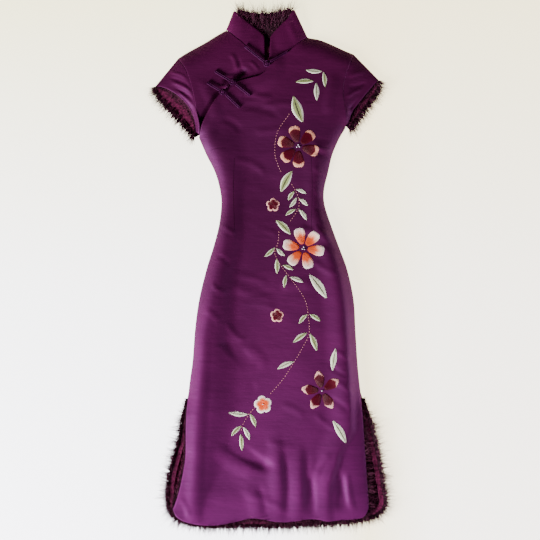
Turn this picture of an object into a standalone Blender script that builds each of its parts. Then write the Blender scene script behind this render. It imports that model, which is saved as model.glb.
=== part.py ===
"""A fur-lined qipao of plum satin, laid flat on its back.

All sizes are in millimetres and become metres where a mesh is made. +X runs to the
wearer's left, +Y from the hem towards the collar and +Z up from the surface that the
dress lies on. The layers from below are the back panel, the plush lining of the back,
the plush of the front and the front panel. The placket is on the wearer's right.
"""

import math
from collections import namedtuple

import bmesh
import bpy

MM = 0.001

# Cloth and the gaps between pieces
SATIN = 2.4
SLEEVE_SATIN = 2.0
SEAM_GAP = 0.4
LAYER_GAP = 0.3
PLUSH_GAP = 1.3
FUR_GAP = 1.7

# Heights of the layers
BACK_TOP = SATIN
SEAM_HEIGHT = BACK_TOP + LAYER_GAP
FREE_EDGE_HEIGHT = 11.3
LINING_BOTTOM = BACK_TOP + LAYER_GAP
LINING_TOP = 5.0
FRONT_LINING_BOTTOM = LINING_TOP + LAYER_GAP
SIDE_ROUNDING = 46.0
SIDE_POWER = 2.2
SLIT_TOP = -272.0
SLIT_OPEN = -330.0

# The under lap below the front panel
LAP_RAISE = SATIN + 1.3
LAP_FULL = 15.0
LAP_FADE = 42.0

# Insets of the linings from the edges of the panels
LINING_INSET = 7.0
TRIM_INSIDE = 12.0
FRONT_LINING_INSET = 14.0

# Fur edging of the skirt
FRONT_TRIM_START = -298.0
BACK_TRIM_START = -284.0
FRONT_FUR_REACH = 8.0
BACK_FUR_REACH = 9.5
BACK_FUR_TOP = 7.3
TRIM_STEP = 17.0

# Sleeves and collar
CUFF_FOLD_HEIGHT = 6.5
CUFF_CROWN = 4.5
SLEEVE_FUR_REACH = 10.0
COLLAR_SATIN = 2.2
COLLAR_TOP_HEIGHT = 12.8
COLLAR_FUR_TOP = 10.6
COLLAR_FUR_REACH = 11.0
COLLAR_FOLD_BASE = 1.9
COLLAR_FOLD_TOP = 4.6

# Frog closures
CORD = 1.3
CORD_PITCH = 2 * CORD + 0.3
FROG_LIFT = 0.7
BUTTON = 4.6
BUTTON_FLATTENED = 0.8
LOOP_RADIUS = BUTTON + CORD + 0.15

Point = namedtuple("Point", "x y")
CrownRow = namedtuple("CrownRow", "y height")
Fold = namedtuple("Fold", "x0 y0 x1 y1 width height")
SleeveRow = namedtuple("SleeveRow", "seam_y front_x front_y back_x back_y")
CollarRow = namedtuple("CollarRow", "base_x base_y top_x top_y")
Frog = namedtuple("Frog", "lap_x lap_y knot_x knot_y front_x front_y lift")

# Outlines, each from its upper end to its lower end unless its name says otherwise
RIGHT_SHOULDER = [Point(-96, 522), Point(-119, 509), Point(-145, 493), Point(-178, 475), Point(-202, 460)]
LEFT_SHOULDER = [Point(81, 506), Point(106, 502), Point(128, 494), Point(165, 477), Point(184, 469)]
RIGHT_ARMHOLE = [
    Point(-202, 460),
    Point(-185, 436),
    Point(-174, 405),
    Point(-167, 376),
    Point(-161, 343),
    Point(-155, 314),
    Point(-156, 286),
]
LEFT_ARMHOLE = [
    Point(184, 469),
    Point(169, 430),
    Point(161, 394),
    Point(164, 359),
    Point(169, 330),
    Point(165, 306),
]
RIGHT_SIDE = [
    Point(-156, 286),
    Point(-140, 249),
    Point(-121, 211),
    Point(-110, 172),
    Point(-107, 139),
    Point(-112, 95),
    Point(-123, 51),
    Point(-140, -4),
    Point(-156, -70),
    Point(-165, -136),
    Point(-170, -202),
    Point(-176, -246),
    Point(-179, -272),
]
LEFT_SIDE = [
    Point(165, 306),
    Point(152, 284),
    Point(137, 249),
    Point(128, 211),
    Point(119, 172),
    Point(120, 139),
    Point(134, 95),
    Point(150, 51),
    Point(170, -4),
    Point(184, -70),
    Point(188, -136),
    Point(192, -202),
    Point(196, -246),
    Point(199, -272),
]
RIGHT_SLIT = [
    Point(-179, -272),
    Point(-183, -312),
    Point(-185, -356),
    Point(-185, -400),
    Point(-188, -433),
    Point(-197, -471),
    Point(-208, -506),
    Point(-213, -528),
]
LEFT_SLIT = [
    Point(199, -272),
    Point(204, -334),
    Point(207, -378),
    Point(210, -422),
    Point(213, -466),
    Point(216, -506),
    Point(216, -528),
]
FRONT_HEM = [
    Point(-213, -528),
    Point(-206, -545),
    Point(-189, -556),
    Point(-167, -562),
    Point(-141, -565),
    Point(-110, -564),
    Point(-75, -557),
    Point(-40, -549),
    Point(-13, -552),
    Point(13, -557),
    Point(48, -557),
    Point(84, -551),
    Point(106, -552),
    Point(128, -556),
    Point(158, -553),
    Point(189, -551),
    Point(207, -545),
    Point(216, -528),
]
BACK_RIGHT_SLIT = [
    Point(-179, -272),
    Point(-185, -304),
    Point(-191, -334),
    Point(-196, -370),
    Point(-202, -394),
    Point(-210, -422),
    Point(-217, -449),
    Point(-222, -480),
    Point(-223, -510),
    Point(-221, -524),
]
BACK_HEM = [
    Point(-221, -524),
    Point(-213, -541),
    Point(-195, -552),
    Point(-165, -560),
    Point(-121, -563),
    Point(-66, -564),
    Point(-22, -565),
    Point(22, -564),
    Point(73, -562),
    Point(121, -559),
    Point(165, -555),
    Point(202, -550),
    Point(230, -543),
    Point(245, -532),
    Point(252, -516),
]
BACK_LEFT_SLIT = [
    Point(252, -516),
    Point(249, -490),
    Point(244, -460),
    Point(239, -430),
    Point(234, -405),
    Point(228, -378),
    Point(221, -345),
    Point(211, -310),
    Point(199, -272),
]
RIGHT_NECK = [Point(-96, 522), Point(-79, 508), Point(-58, 491), Point(-33, 466), Point(-9, 447)]
LEFT_NECK = [Point(81, 506), Point(66, 497), Point(51, 485), Point(20, 461), Point(-4, 443)]
BACK_NECK = [
    Point(85, 504.5),
    Point(79, 505.8),
    Point(71, 512.5),
    Point(44, 523),
    Point(-7, 530),
    Point(-59, 529),
    Point(-86, 524),
    Point(-100, 518),
]
PLACKET = [
    Point(-4, 443),
    Point(-9, 433),
    Point(-26, 421),
    Point(-50, 415),
    Point(-75, 407),
    Point(-97, 393),
    Point(-118, 371),
    Point(-135, 344),
    Point(-149, 315),
    Point(-156, 286),
]
LAP_INNER_EDGE = [
    Point(-9, 447),
    Point(0, 434),
    Point(-8, 420),
    Point(-26, 409),
    Point(-50, 401),
    Point(-72, 393),
    Point(-90, 380),
    Point(-108, 361),
    Point(-124, 336),
    Point(-138, 310),
    Point(-148, 290),
]

# Sleeves, from the fold at the shoulder to the underarm
RIGHT_SLEEVE = [
    SleeveRow(460, -251, 399, -251, 399),
    SleeveRow(437, -232, 396, -245, 379),
    SleeveRow(405, -209, 384, -228, 356),
    SleeveRow(376, -189, 367, -209, 337),
    SleeveRow(345, -174, 347, -190, 316),
    SleeveRow(316, -165, 323, -173, 299),
    SleeveRow(293, -162, 299, -164, 287),
]
LEFT_SLEEVE = [
    SleeveRow(469, 238, 413, 238, 413),
    SleeveRow(439, 223, 397, 236, 391),
    SleeveRow(405, 208, 379, 221, 368),
    SleeveRow(378, 194, 362, 206, 348),
    SleeveRow(354, 183, 348, 192, 330),
    SleeveRow(334, 177, 335, 182, 315),
    SleeveRow(313, 172, 318, 173, 305),
]

# The collar's two front halves from the centre front outwards, and its back across
COLLAR_RIGHT = [
    CollarRow(-9, 448, -8, 503),
    CollarRow(-33, 467, -19, 515),
    CollarRow(-58, 492, -42, 533),
    CollarRow(-77, 508, -62, 549),
]
COLLAR_LEFT = [
    CollarRow(-4, 445, -3, 502),
    CollarRow(20, 462, 8, 516),
    CollarRow(49, 485, 28, 537),
    CollarRow(66, 497, 42, 551),
]
COLLAR_RIGHT_FOLD = CollarRow(-96, 523, -80, 562)
COLLAR_LEFT_FOLD = CollarRow(82, 507, 54, 565)
COLLAR_BACK = [
    CollarRow(-86, 525, -68, 560),
    CollarRow(-59, 530, -44, 556),
    CollarRow(-7, 531, -11, 553),
    CollarRow(44, 524, 20, 557),
    CollarRow(72, 514, 43, 562),
]

FROGS = [
    Frog(-55, 485, -7, 447, 37, 473, 3.0),
    Frog(-120, 430, -82, 407, -44, 377, 0.5),
    Frog(-137, 405, -103, 385, -67, 351, 0.5),
]

# Height of the front panel's underside along the middle of the body
CROWN = [
    CrownRow(-570, 11.6),
    CrownRow(-520, 14.5),
    CrownRow(-440, 17.0),
    CrownRow(-250, 18.0),
    CrownRow(-60, 18.0),
    CrownRow(60, 16.5),
    CrownRow(150, 15.0),
    CrownRow(260, 17.0),
    CrownRow(360, 17.0),
    CrownRow(440, 14.5),
    CrownRow(530, 13.0),
]

# The largest folds: a line on the body, half its width, and its height or depth
FOLDS = [
    Fold(-122, 262, -102, 140, 30, 2.6),
    Fold(-102, 140, -116, -10, 30, 2.6),
    Fold(-116, -10, -140, -190, 32, 2.6),
    Fold(-140, -190, -158, -540, 32, 2.4),
    Fold(-64, 262, -60, 140, 34, -2.6),
    Fold(-60, 140, -70, -30, 34, -2.6),
    Fold(-70, -30, -92, -230, 34, -2.4),
    Fold(-92, -230, -116, -450, 36, -2.4),
    Fold(-110, -158, -46, -216, 20, -2.2),
    Fold(-122, -402, -8, -456, 18, 3.0),
    Fold(6, -400, 10, -556, 17, 3.2),
    Fold(56, -400, 58, -556, 17, 2.8),
    Fold(112, -390, 118, -556, 19, 3.0),
    Fold(141, -440, 146, -520, 18, -2.6),
    Fold(88, 268, 140, 262, 16, 2.0),
    Fold(-76, -44, 6, -68, 14, 1.6),
    Fold(-150, 410, -118, 330, 16, 1.8),
    Fold(146, 420, 128, 340, 16, 1.8),
]

# Colours and finish: red, green, blue, roughness
SATIN_PLUM = (0.105, 0.014, 0.080, 0.42)
FUR_BROWN = (0.022, 0.006, 0.012, 0.95)
PLUSH_WINE = (0.080, 0.010, 0.026, 0.90)
CORD_PLUM = (0.060, 0.008, 0.040, 0.55)


def blend(a, b, t):
    return a + (b - a) * t


def ease(t):
    """A smooth step from 0 to 1."""
    t = min(1.0, max(0.0, t))
    return t * t * (3 - 2 * t)


def smooth_line(rows, spacing=8.0):
    """Points along a soft curve through the rows, at about even spacing."""
    fine = []
    last = len(rows) - 1
    for index in range(last):
        before = rows[max(0, index - 1)]
        start, end = rows[index], rows[index + 1]
        after = rows[min(last, index + 2)]
        for part in range(8):
            t = part / 8
            weights = (
                -0.5 * t + t * t - 0.5 * t**3,
                1 - 2.5 * t * t + 1.5 * t**3,
                0.5 * t + 2 * t * t - 1.5 * t**3,
                -0.5 * t * t + 0.5 * t**3,
            )
            near = (before, start, end, after)
            x = sum(w * p.x for w, p in zip(weights, near))
            y = sum(w * p.y for w, p in zip(weights, near))
            fine.append(Point(x, y))
    fine.append(Point(rows[last].x, rows[last].y))
    return spaced(fine, spacing)


def spaced(line, spacing):
    """The same line with its points at even distances."""
    lengths = [0.0]
    for start, end in zip(line, line[1:]):
        lengths.append(lengths[-1] + math.hypot(end.x - start.x, end.y - start.y))
    count = max(2, round(lengths[-1] / spacing) + 1)
    points = []
    segment = 0
    for number in range(count):
        target = lengths[-1] * number / (count - 1)
        while segment < len(line) - 2 and lengths[segment + 1] < target:
            segment += 1
        t = (target - lengths[segment]) / (lengths[segment + 1] - lengths[segment])
        start, end = line[segment], line[segment + 1]
        points.append(Point(blend(start.x, end.x, t), blend(start.y, end.y, t)))
    return points


def side_at(line, y):
    """The line's x at a height, for a line that runs steadily downwards."""
    if y >= line[0].y:
        return line[0].x
    for upper, lower in zip(line, line[1:]):
        if lower.y <= y <= upper.y and upper.y > lower.y:
            return blend(lower.x, upper.x, (y - lower.y) / (upper.y - lower.y))
    return line[-1].x


def height_at(line, x):
    """The line's y at a place across it, for a line that runs steadily along X."""
    if x <= line[0].x:
        return line[0].y
    for start, end in zip(line, line[1:]):
        if start.x <= x <= end.x and end.x > start.x:
            return blend(start.y, end.y, (x - start.x) / (end.x - start.x))
    return line[-1].y


def reach(x, y, start, end):
    """Distance from a point to a straight piece, and how far along it that lies."""
    dx, dy = end.x - start.x, end.y - start.y
    t = ((x - start.x) * dx + (y - start.y) * dy) / (dx * dx + dy * dy)
    t = min(1.0, max(0.0, t))
    return math.hypot(x - start.x - t * dx, y - start.y - t * dy), t


def distance(x, y, line):
    return min(reach(x, y, start, end)[0] for start, end in zip(line, line[1:]))


def shifted(line, amount):
    """The line moved to its left-hand side by an amount, or by a function of the point."""
    moved = []
    for index, point in enumerate(line):
        before = line[max(0, index - 1)]
        after = line[min(len(line) - 1, index + 1)]
        dx, dy = after.x - before.x, after.y - before.y
        size = math.hypot(dx, dy)
        step = amount(point) if callable(amount) else amount
        moved.append(Point(point.x - dy / size * step, point.y + dx / size * step))
    return moved


SIDE_LINES = [
    smooth_line(RIGHT_SIDE)[:-1] + smooth_line(RIGHT_SLIT),
    smooth_line(LEFT_SIDE)[:-1] + smooth_line(LEFT_SLIT),
    smooth_line(RIGHT_SHOULDER + [Point(RIGHT_SLEEVE[0].front_x, RIGHT_SLEEVE[0].front_y)]),
    smooth_line(LEFT_SHOULDER + [Point(LEFT_SLEEVE[0].front_x, LEFT_SLEEVE[0].front_y)]),
]
ARMHOLE_LINES = (smooth_line(RIGHT_ARMHOLE), smooth_line(LEFT_ARMHOLE))
PLACKET_LINE = smooth_line(PLACKET)
HEM_LINE = smooth_line(FRONT_HEM, 6.0)


def crown_at(y):
    """Height of the underside along the middle of the body."""
    if y <= CROWN[0].y:
        return CROWN[0].height
    for lower, upper in zip(CROWN, CROWN[1:]):
        if lower.y <= y <= upper.y:
            return blend(lower.height, upper.height, ease((y - lower.y) / (upper.y - lower.y)))
    return CROWN[-1].height


def edge_height(y):
    """Height of the front panel's underside at its side edges."""
    return blend(SEAM_HEIGHT, FREE_EDGE_HEIGHT, ease((SLIT_TOP + 12 - y) / (SLIT_TOP - SLIT_OPEN + 12)))


def fold_height(x, y):
    """What the folds add at a point."""
    total = 0.0
    for fold in FOLDS:
        away, along = reach(x, y, Point(fold.x0, fold.y0), Point(fold.x1, fold.y1))
        if away < fold.width:
            total += fold.height * 0.5 * (1 + math.cos(math.pi * away / fold.width))
    return total


def rounding(x, y):
    """How far the crown has risen at a point, from 0 at the sides to 1."""
    near = min(distance(x, y, line) for line in SIDE_LINES)
    return 1 - (1 - min(1.0, near / SIDE_ROUNDING)) ** SIDE_POWER


def under(x, y):
    """Height of the underside of the upper layer, apart from the lap's raise."""
    height = blend(edge_height(y), crown_at(y) + fold_height(x, y), rounding(x, y))
    if y < SLIT_OPEN:
        height = max(height, FREE_EDGE_HEIGHT)
    return height


def plush_top(x, y):
    """Upper face of the plush, which follows the broad form and stays below every trough nearby."""
    steps = (-16, 0, 16)
    trough = min(fold_height(x + dx, y + dy) for dx in steps for dy in steps)
    height = blend(edge_height(y), crown_at(y) + trough, rounding(x, y)) - PLUSH_GAP
    return max(height, FRONT_LINING_BOTTOM + 0.5)


def front_under(x, y):
    """Height of the front panel's underside, raised where it closes over the lap."""
    away = distance(x, y, PLACKET_LINE)
    return under(x, y) + LAP_RAISE * (1 - ease((away - LAP_FULL) / (LAP_FADE - LAP_FULL)))


def in_front_panel(x, y):
    """Whether a point lies on the front panel's side of the placket."""
    if y > PLACKET_LINE[0].y:
        return x > PLACKET_LINE[0].x
    return x > side_at(PLACKET_LINE, y)


def outside(x, y):
    """Height of the outer face of whichever upper piece lies at a point."""
    return (front_under(x, y) if in_front_panel(x, y) else under(x, y)) + SATIN


def material(name, finish):
    made = bpy.data.materials.new(name)
    made.use_nodes = True
    shader = made.node_tree.nodes["Principled BSDF"]
    shader.inputs["Base Color"].default_value = (*finish[:3], 1)
    shader.inputs["Roughness"].default_value = finish[3]
    shader.inputs["Metallic"].default_value = 0.0
    return made


def add_object(name, data, finish):
    data.materials.append(material(name + "_finish", finish))
    made = bpy.data.objects.new(name, data)
    collection.objects.link(made)
    return made


def grid_mesh(name, across, along, place):
    """A grid whose points are placed in millimetres by their column and row."""
    mesh = bpy.data.meshes.new(name)
    bm = bmesh.new()
    bmesh.ops.create_grid(bm, x_segments=across, y_segments=along, size=1.0)
    for vertex in bm.verts:
        column = round((vertex.co.x + 1) / 2 * across)
        row = round((vertex.co.y + 1) / 2 * along)
        vertex.co = [value * MM for value in place(column, row)]
    return mesh, bm


def cloth_wall(name, across, along, place, finish, thickness=SATIN, offset=1.0):
    """A sheet that gets its thickness from Solidify. Offset 1 keeps the sheet as the underside."""
    mesh, bm = grid_mesh(name, across, along, place)
    bm.to_mesh(mesh)
    bm.free()
    mesh.shade_smooth()
    made = add_object(name, mesh, finish)
    wall = made.modifiers.new("Cloth thickness", "SOLIDIFY")
    wall.thickness = thickness * MM
    wall.offset = offset
    wall.use_even_offset = True
    wall.use_quality_normals = True
    return made


def filled_form(name, across, along, top, bottom, finish):
    """A pad whose upper face is a grid and whose lower face lies straight below it."""
    mesh, bm = grid_mesh(name, across, along, top)
    extruded = bmesh.ops.extrude_face_region(bm, geom=bm.faces[:])
    lowered = [item for item in extruded["geom"] if isinstance(item, bmesh.types.BMVert)]
    for vertex in lowered:
        vertex.co.z = bottom(vertex.co.x / MM, vertex.co.y / MM) * MM
    bmesh.ops.recalc_face_normals(bm, faces=bm.faces)
    bm.to_mesh(mesh)
    bm.free()
    mesh.shade_smooth()
    mesh.set_sharp_from_angle(angle=math.radians(50))
    return add_object(name, mesh, finish)


def flat_piece(name, outline, low, high, finish):
    """A flat outline between two heights."""
    curve = bpy.data.curves.new(name, "CURVE")
    curve.dimensions = "2D"
    curve.fill_mode = "BOTH"
    curve.extrude = (high - low) / 2 * MM
    spline = curve.splines.new("POLY")
    spline.points.add(len(outline) - 1)
    for target, point in zip(spline.points, outline):
        target.co = (point.x * MM, point.y * MM, 0, 1)
    spline.use_cyclic_u = True
    made = add_object(name, curve, finish)
    made.location.z = (low + high) / 2 * MM
    return made


def cord_loop(name, points, finish):
    """A closed run of cord through points given with their heights."""
    curve = bpy.data.curves.new(name, "CURVE")
    curve.dimensions = "3D"
    curve.bevel_depth = CORD * MM
    curve.bevel_resolution = 2
    spline = curve.splines.new("POLY")
    spline.points.add(len(points) - 1)
    for target, point in zip(spline.points, points):
        target.co = (*(value * MM for value in point), 1)
    spline.use_cyclic_u = True
    return add_object(name, curve, finish)


def even_steps(marks, spacing):
    """Values from the first mark to the last that meet each mark."""
    values = [marks[0]]
    for start, end in zip(marks, marks[1:]):
        count = max(1, math.ceil(abs(end - start) / spacing))
        values += [blend(start, end, number / count) for number in range(1, count + 1)]
    return values


def side_share(column, columns):
    """Share of the way across, closer together towards both sides."""
    t = column / columns
    return 0.45 * t + 0.55 * (0.5 - 0.5 * math.cos(math.pi * t))


def build_back_panel():
    outline = smooth_line(RIGHT_SHOULDER[1:], 14)
    outline += smooth_line(RIGHT_ARMHOLE, 14)[1:]
    outline += smooth_line(RIGHT_SIDE, 14)[1:]
    outline += smooth_line(BACK_RIGHT_SLIT, 14)[1:]
    outline += smooth_line(BACK_HEM, 12)[1:]
    outline += smooth_line(BACK_LEFT_SLIT, 14)[1:]
    outline += smooth_line(LEFT_SIDE, 14)[-2::-1]
    outline += smooth_line(LEFT_ARMHOLE, 14)[-2::-1]
    outline += smooth_line(LEFT_SHOULDER[1:], 14)[-2::-1]
    outline += BACK_NECK
    flat_piece("back_panel", outline, 0, BACK_TOP, SATIN_PLUM)


def build_back_lining():
    """Flat plush on the back panel, inside the seams and inside the fur edging."""
    right = smooth_line(RIGHT_ARMHOLE + RIGHT_SIDE[1:-1], 15)
    skirt = smooth_line(BACK_RIGHT_SLIT[1:] + BACK_HEM[1:] + BACK_LEFT_SLIT[1:-1], 15)
    left = smooth_line(LEFT_ARMHOLE + LEFT_SIDE[1:-1], 15)[::-1]
    shoulder_inset = LINING_INSET + 3
    outline = shifted(right[2:], LINING_INSET)
    outline += [Point(RIGHT_SIDE[-1].x + TRIM_INSIDE + 2, SLIT_TOP)]
    outline += shifted(skirt, TRIM_INSIDE + 1)
    outline += [Point(LEFT_SIDE[-1].x - TRIM_INSIDE - 2, SLIT_TOP)]
    outline += shifted(left[:-2], LINING_INSET)
    outline += shifted(smooth_line(LEFT_SHOULDER[::-1], 16)[2:-1], shoulder_inset)
    outline += [Point(56, 492), Point(-60, 499)]
    outline += shifted(smooth_line(RIGHT_SHOULDER, 16)[1:-2], shoulder_inset)
    flat_piece("back_lining", outline, LINING_BOTTOM, LINING_TOP, PLUSH_WINE)


def hem_shift(x, y):
    """How far a row near the hem is moved so that the last row follows the hem."""
    level, start = FRONT_HEM[0].y, -440.0
    if y > start:
        return 0.0
    return (height_at(HEM_LINE, x) - level) * (start - y) / (start - level)


FRONT_RIGHT_EDGE = (
    smooth_line(LEFT_NECK)[:-1] + PLACKET_LINE[:-1] + smooth_line(RIGHT_SIDE)[:-1] + smooth_line(RIGHT_SLIT)
)
FRONT_LEFT_EDGE = (
    smooth_line(LEFT_SHOULDER)[:-1] + smooth_line(LEFT_ARMHOLE)[:-1] + smooth_line(LEFT_SIDE)[:-1]
    + smooth_line(LEFT_SLIT)
)


def build_front_panel():
    rows = even_steps([-528, -440, -272, 286, 306], 24) + even_steps([306, 386], 16)[1:]
    rows += even_steps([386, 443], 7.2)[1:] + even_steps([443, 469, 503], 11)[1:]
    columns = 18

    def place(column, row):
        y = rows[row]
        x = blend(side_at(FRONT_RIGHT_EDGE, y), side_at(FRONT_LEFT_EDGE, y), side_share(column, columns))
        y += hem_shift(x, y)
        return x, y, front_under(x, y)

    cloth_wall("front_panel", columns, len(rows) - 1, place, SATIN_PLUM)


def build_under_lap():
    left_edge = smooth_line(RIGHT_SHOULDER)[:-1] + smooth_line(RIGHT_ARMHOLE)
    inner_edge = smooth_line(RIGHT_NECK)[:-1] + smooth_line(LAP_INNER_EDGE)
    rows = even_steps([303, 385], 15) + even_steps([385, 447], 8)[1:] + even_steps([447, 460, 518], 12)[1:]
    columns = 9

    def place(column, row):
        y = rows[row]
        x = blend(side_at(left_edge, y), side_at(inner_edge, y), side_share(column, columns))
        return x, y, under(x, y)

    cloth_wall("under_lap", columns, len(rows) - 1, place, SATIN_PLUM)


def build_front_lining():
    """The plush between the shells, inset from the seams and from the fur edging."""
    right_edge = smooth_line(RIGHT_SHOULDER)[:-1] + smooth_line(RIGHT_ARMHOLE)[:-1]
    right_edge += smooth_line(RIGHT_SIDE)[:-1] + smooth_line(RIGHT_SLIT)
    rows = even_steps([-512, -440, -290, -250, 286, 306, 460, 488], 28)
    columns = 12
    shoulder_level = 455.0

    def inset(y):
        skirt = ease((SLIT_TOP + 20 - y) / 30)
        shoulder = ease((y - shoulder_level + 40) / 40)
        return LINING_INSET + skirt * (FRONT_LINING_INSET + 1 - LINING_INSET) + 14 * shoulder

    def place(column, row):
        y = rows[row]
        left = side_at(right_edge, y) + inset(y)
        right = side_at(FRONT_LEFT_EDGE, y) - inset(y)
        x = blend(left, right, side_share(column, columns))
        y += hem_shift(x, y)
        return x, y, plush_top(x, y)

    filled_form(
        "front_lining", columns, len(rows) - 1, place, lambda x, y: FRONT_LINING_BOTTOM, PLUSH_WINE
    )


def trim_level(y):
    """Height between the back's fur edging and the front's."""
    return BACK_TOP + 0.57 * (edge_height(y) - BACK_TOP)


def build_trim(name, path, section, bottom):
    """A band of fur along an edge. Section rows give the distance out and the top's height."""
    rails = [shifted(path, -offset) for offset, height in section]

    def place(column, row):
        point = rails[column][row]
        return point.x, point.y, section[column][1](point.x, point.y)

    filled_form(name, len(section) - 1, len(path) - 1, place, bottom, FUR_BROWN)


def build_front_trim():
    path = smooth_line(RIGHT_SLIT + FRONT_HEM[1:] + LEFT_SLIT[-2::-1], TRIM_STEP)

    def below_panel(x, y):
        return under(x, y) - FUR_GAP

    def beside_panel(x, y):
        return edge_height(y) - 0.9

    def tips(x, y):
        return blend(trim_level(y), edge_height(y), 0.6)

    section = [
        (-TRIM_INSIDE - 1, below_panel),
        (-5, below_panel),
        (0, beside_panel),
        (0.6 * FRONT_FUR_REACH, beside_panel),
        (FRONT_FUR_REACH, tips),
    ]
    path = [point for point in path if point.y < FRONT_TRIM_START]
    build_trim(
        "front_fur_trim", path, section, lambda x, y: max(trim_level(y) + 0.2, FRONT_LINING_BOTTOM)
    )


def build_back_trim():
    path = smooth_line(BACK_RIGHT_SLIT + BACK_HEM[1:] + BACK_LEFT_SLIT[1:], TRIM_STEP)

    def pile(x, y):
        return min(BACK_FUR_TOP, trim_level(y) - 0.2)

    def tips(x, y):
        return blend(LINING_BOTTOM, pile(x, y), 0.5)

    section = [
        (-TRIM_INSIDE, pile),
        (-5, pile),
        (2, pile),
        (0.7 * BACK_FUR_REACH, pile),
        (BACK_FUR_REACH, tips),
    ]
    path = [point for point in path if point.y < BACK_TRIM_START]
    build_trim("back_fur_trim", path, section, lambda x, y: LINING_BOTTOM)


def sleeve_point(rows, share, which):
    """A point along a sleeve's seam, front hem or back hem, from the fold to the underarm."""
    place = share * (len(rows) - 1)
    index = min(len(rows) - 2, int(place))
    start, end = rows[index], rows[index + 1]
    t = place - index
    if which == "seam":
        y = blend(start.seam_y, end.seam_y, t)
        return Point(side_at(ARMHOLE_LINES[rows is LEFT_SLEEVE], y), y)
    if which == "front":
        return Point(blend(start.front_x, end.front_x, t), blend(start.front_y, end.front_y, t))
    return Point(blend(start.back_x, end.back_x, t), blend(start.back_y, end.back_y, t))


def sleeve_front_height(x, y, share, out):
    """Underside of a sleeve's front. Out runs from 0 at the armhole to 1 at the hem."""
    cuff = CUFF_FOLD_HEIGHT + CUFF_CROWN * math.sin(math.pi * share)
    return blend(under(x, y), cuff, ease(out))


def build_sleeve(name, rows, side):
    """Front wall, rounded fold and back wall as one sheet. Side is -1 or 1 along X."""
    front_shares = [1, 0.86, 0.7, 0.55, 0.4, 0.26, 0.13]
    angles = [90, 50, 0, -50, -90]
    columns = [("front", share) for share in front_shares]
    columns += [("fold", angle) for angle in angles]
    columns += [("back", share) for share in reversed(front_shares)]
    lengthwise = 6
    fold_start, fold_end = sleeve_point(rows, 0, "seam"), sleeve_point(rows, 0, "front")
    fold_x, fold_y = fold_end.x - fold_start.x, fold_end.y - fold_start.y
    fold_size = math.hypot(fold_x, fold_y)
    inward = Point(fold_y / fold_size * side, -fold_x / fold_size * side)
    middle = SLEEVE_SATIN / 2

    def place(column, row):
        kind, value = columns[column]
        out = row / lengthwise
        share = 0 if kind == "fold" else value
        seam = sleeve_point(rows, share, "seam")
        seam = Point(seam.x + side * SEAM_GAP, seam.y)
        hem = sleeve_point(rows, share, "back" if kind == "back" else "front")
        size = math.hypot(hem.x - seam.x, hem.y - seam.y)
        t = blend((SEAM_GAP + 0.4) / size, 1, out)
        x, y = blend(seam.x, hem.x, t), blend(seam.y, hem.y, t)
        if kind == "front":
            return x, y, sleeve_front_height(x, y, share, out) + middle
        if kind == "back":
            return x, y, middle
        radius = blend(1.8, 3.6, out)
        top = sleeve_front_height(x + inward.x * radius, y + inward.y * radius, 0, out) + middle
        angle = math.radians(value)
        inset = radius * (1 - math.cos(angle))
        height = (top + middle) / 2 + (top - middle) / 2 * math.sin(angle)
        return x + inward.x * inset, y + inward.y * inset, height

    cloth_wall(name, len(columns) - 1, lengthwise, place, SATIN_PLUM, SLEEVE_SATIN, 0.0)


def build_sleeve_fur(name, rows, side):
    """Plush inside a sleeve with the fur that stands out past its hem."""
    shares = [0.06, 0.18, 0.31, 0.45, 0.59, 0.72, 0.83, 0.93]
    stations = [
        ("seam", 0.0),
        ("seam", 0.35),
        ("seam", 0.7),
        ("seam", 0.94),
        ("gap", 0.25),
        ("gap", 1.0),
        ("tips", 0.6),
        ("tips", 1.0),
    ]

    def place(column, row):
        share = shares[column]
        zone, t = stations[row]
        seam = sleeve_point(rows, share, "seam")
        front = sleeve_point(rows, share, "front")
        back = sleeve_point(rows, share, "back")
        size = math.hypot(front.x - seam.x, front.y - seam.y)
        if zone == "seam":
            t = blend(2.0 / size, 1, t)
            x, y = blend(seam.x, front.x, t), blend(seam.y, front.y, t)
            return x, y, sleeve_front_height(x, y, share, t) - PLUSH_GAP - 0.2
        if zone == "gap":
            x, y = blend(front.x, back.x, t), blend(front.y, back.y, t)
            return x, y, blend(CUFF_FOLD_HEIGHT - 1.2, 5.0, t)
        slant = blend(0.9, 0.35, share)
        reach_out = SLEEVE_FUR_REACH * t
        x = back.x + side * reach_out * slant
        y = back.y - reach_out * math.sqrt(1 - slant * slant)
        return x, y, blend(5.0, 3.6, t)

    filled_form(
        name, len(shares) - 1, len(stations) - 1, place, lambda x, y: SLEEVE_SATIN + LAYER_GAP, FUR_BROWN
    )


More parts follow.
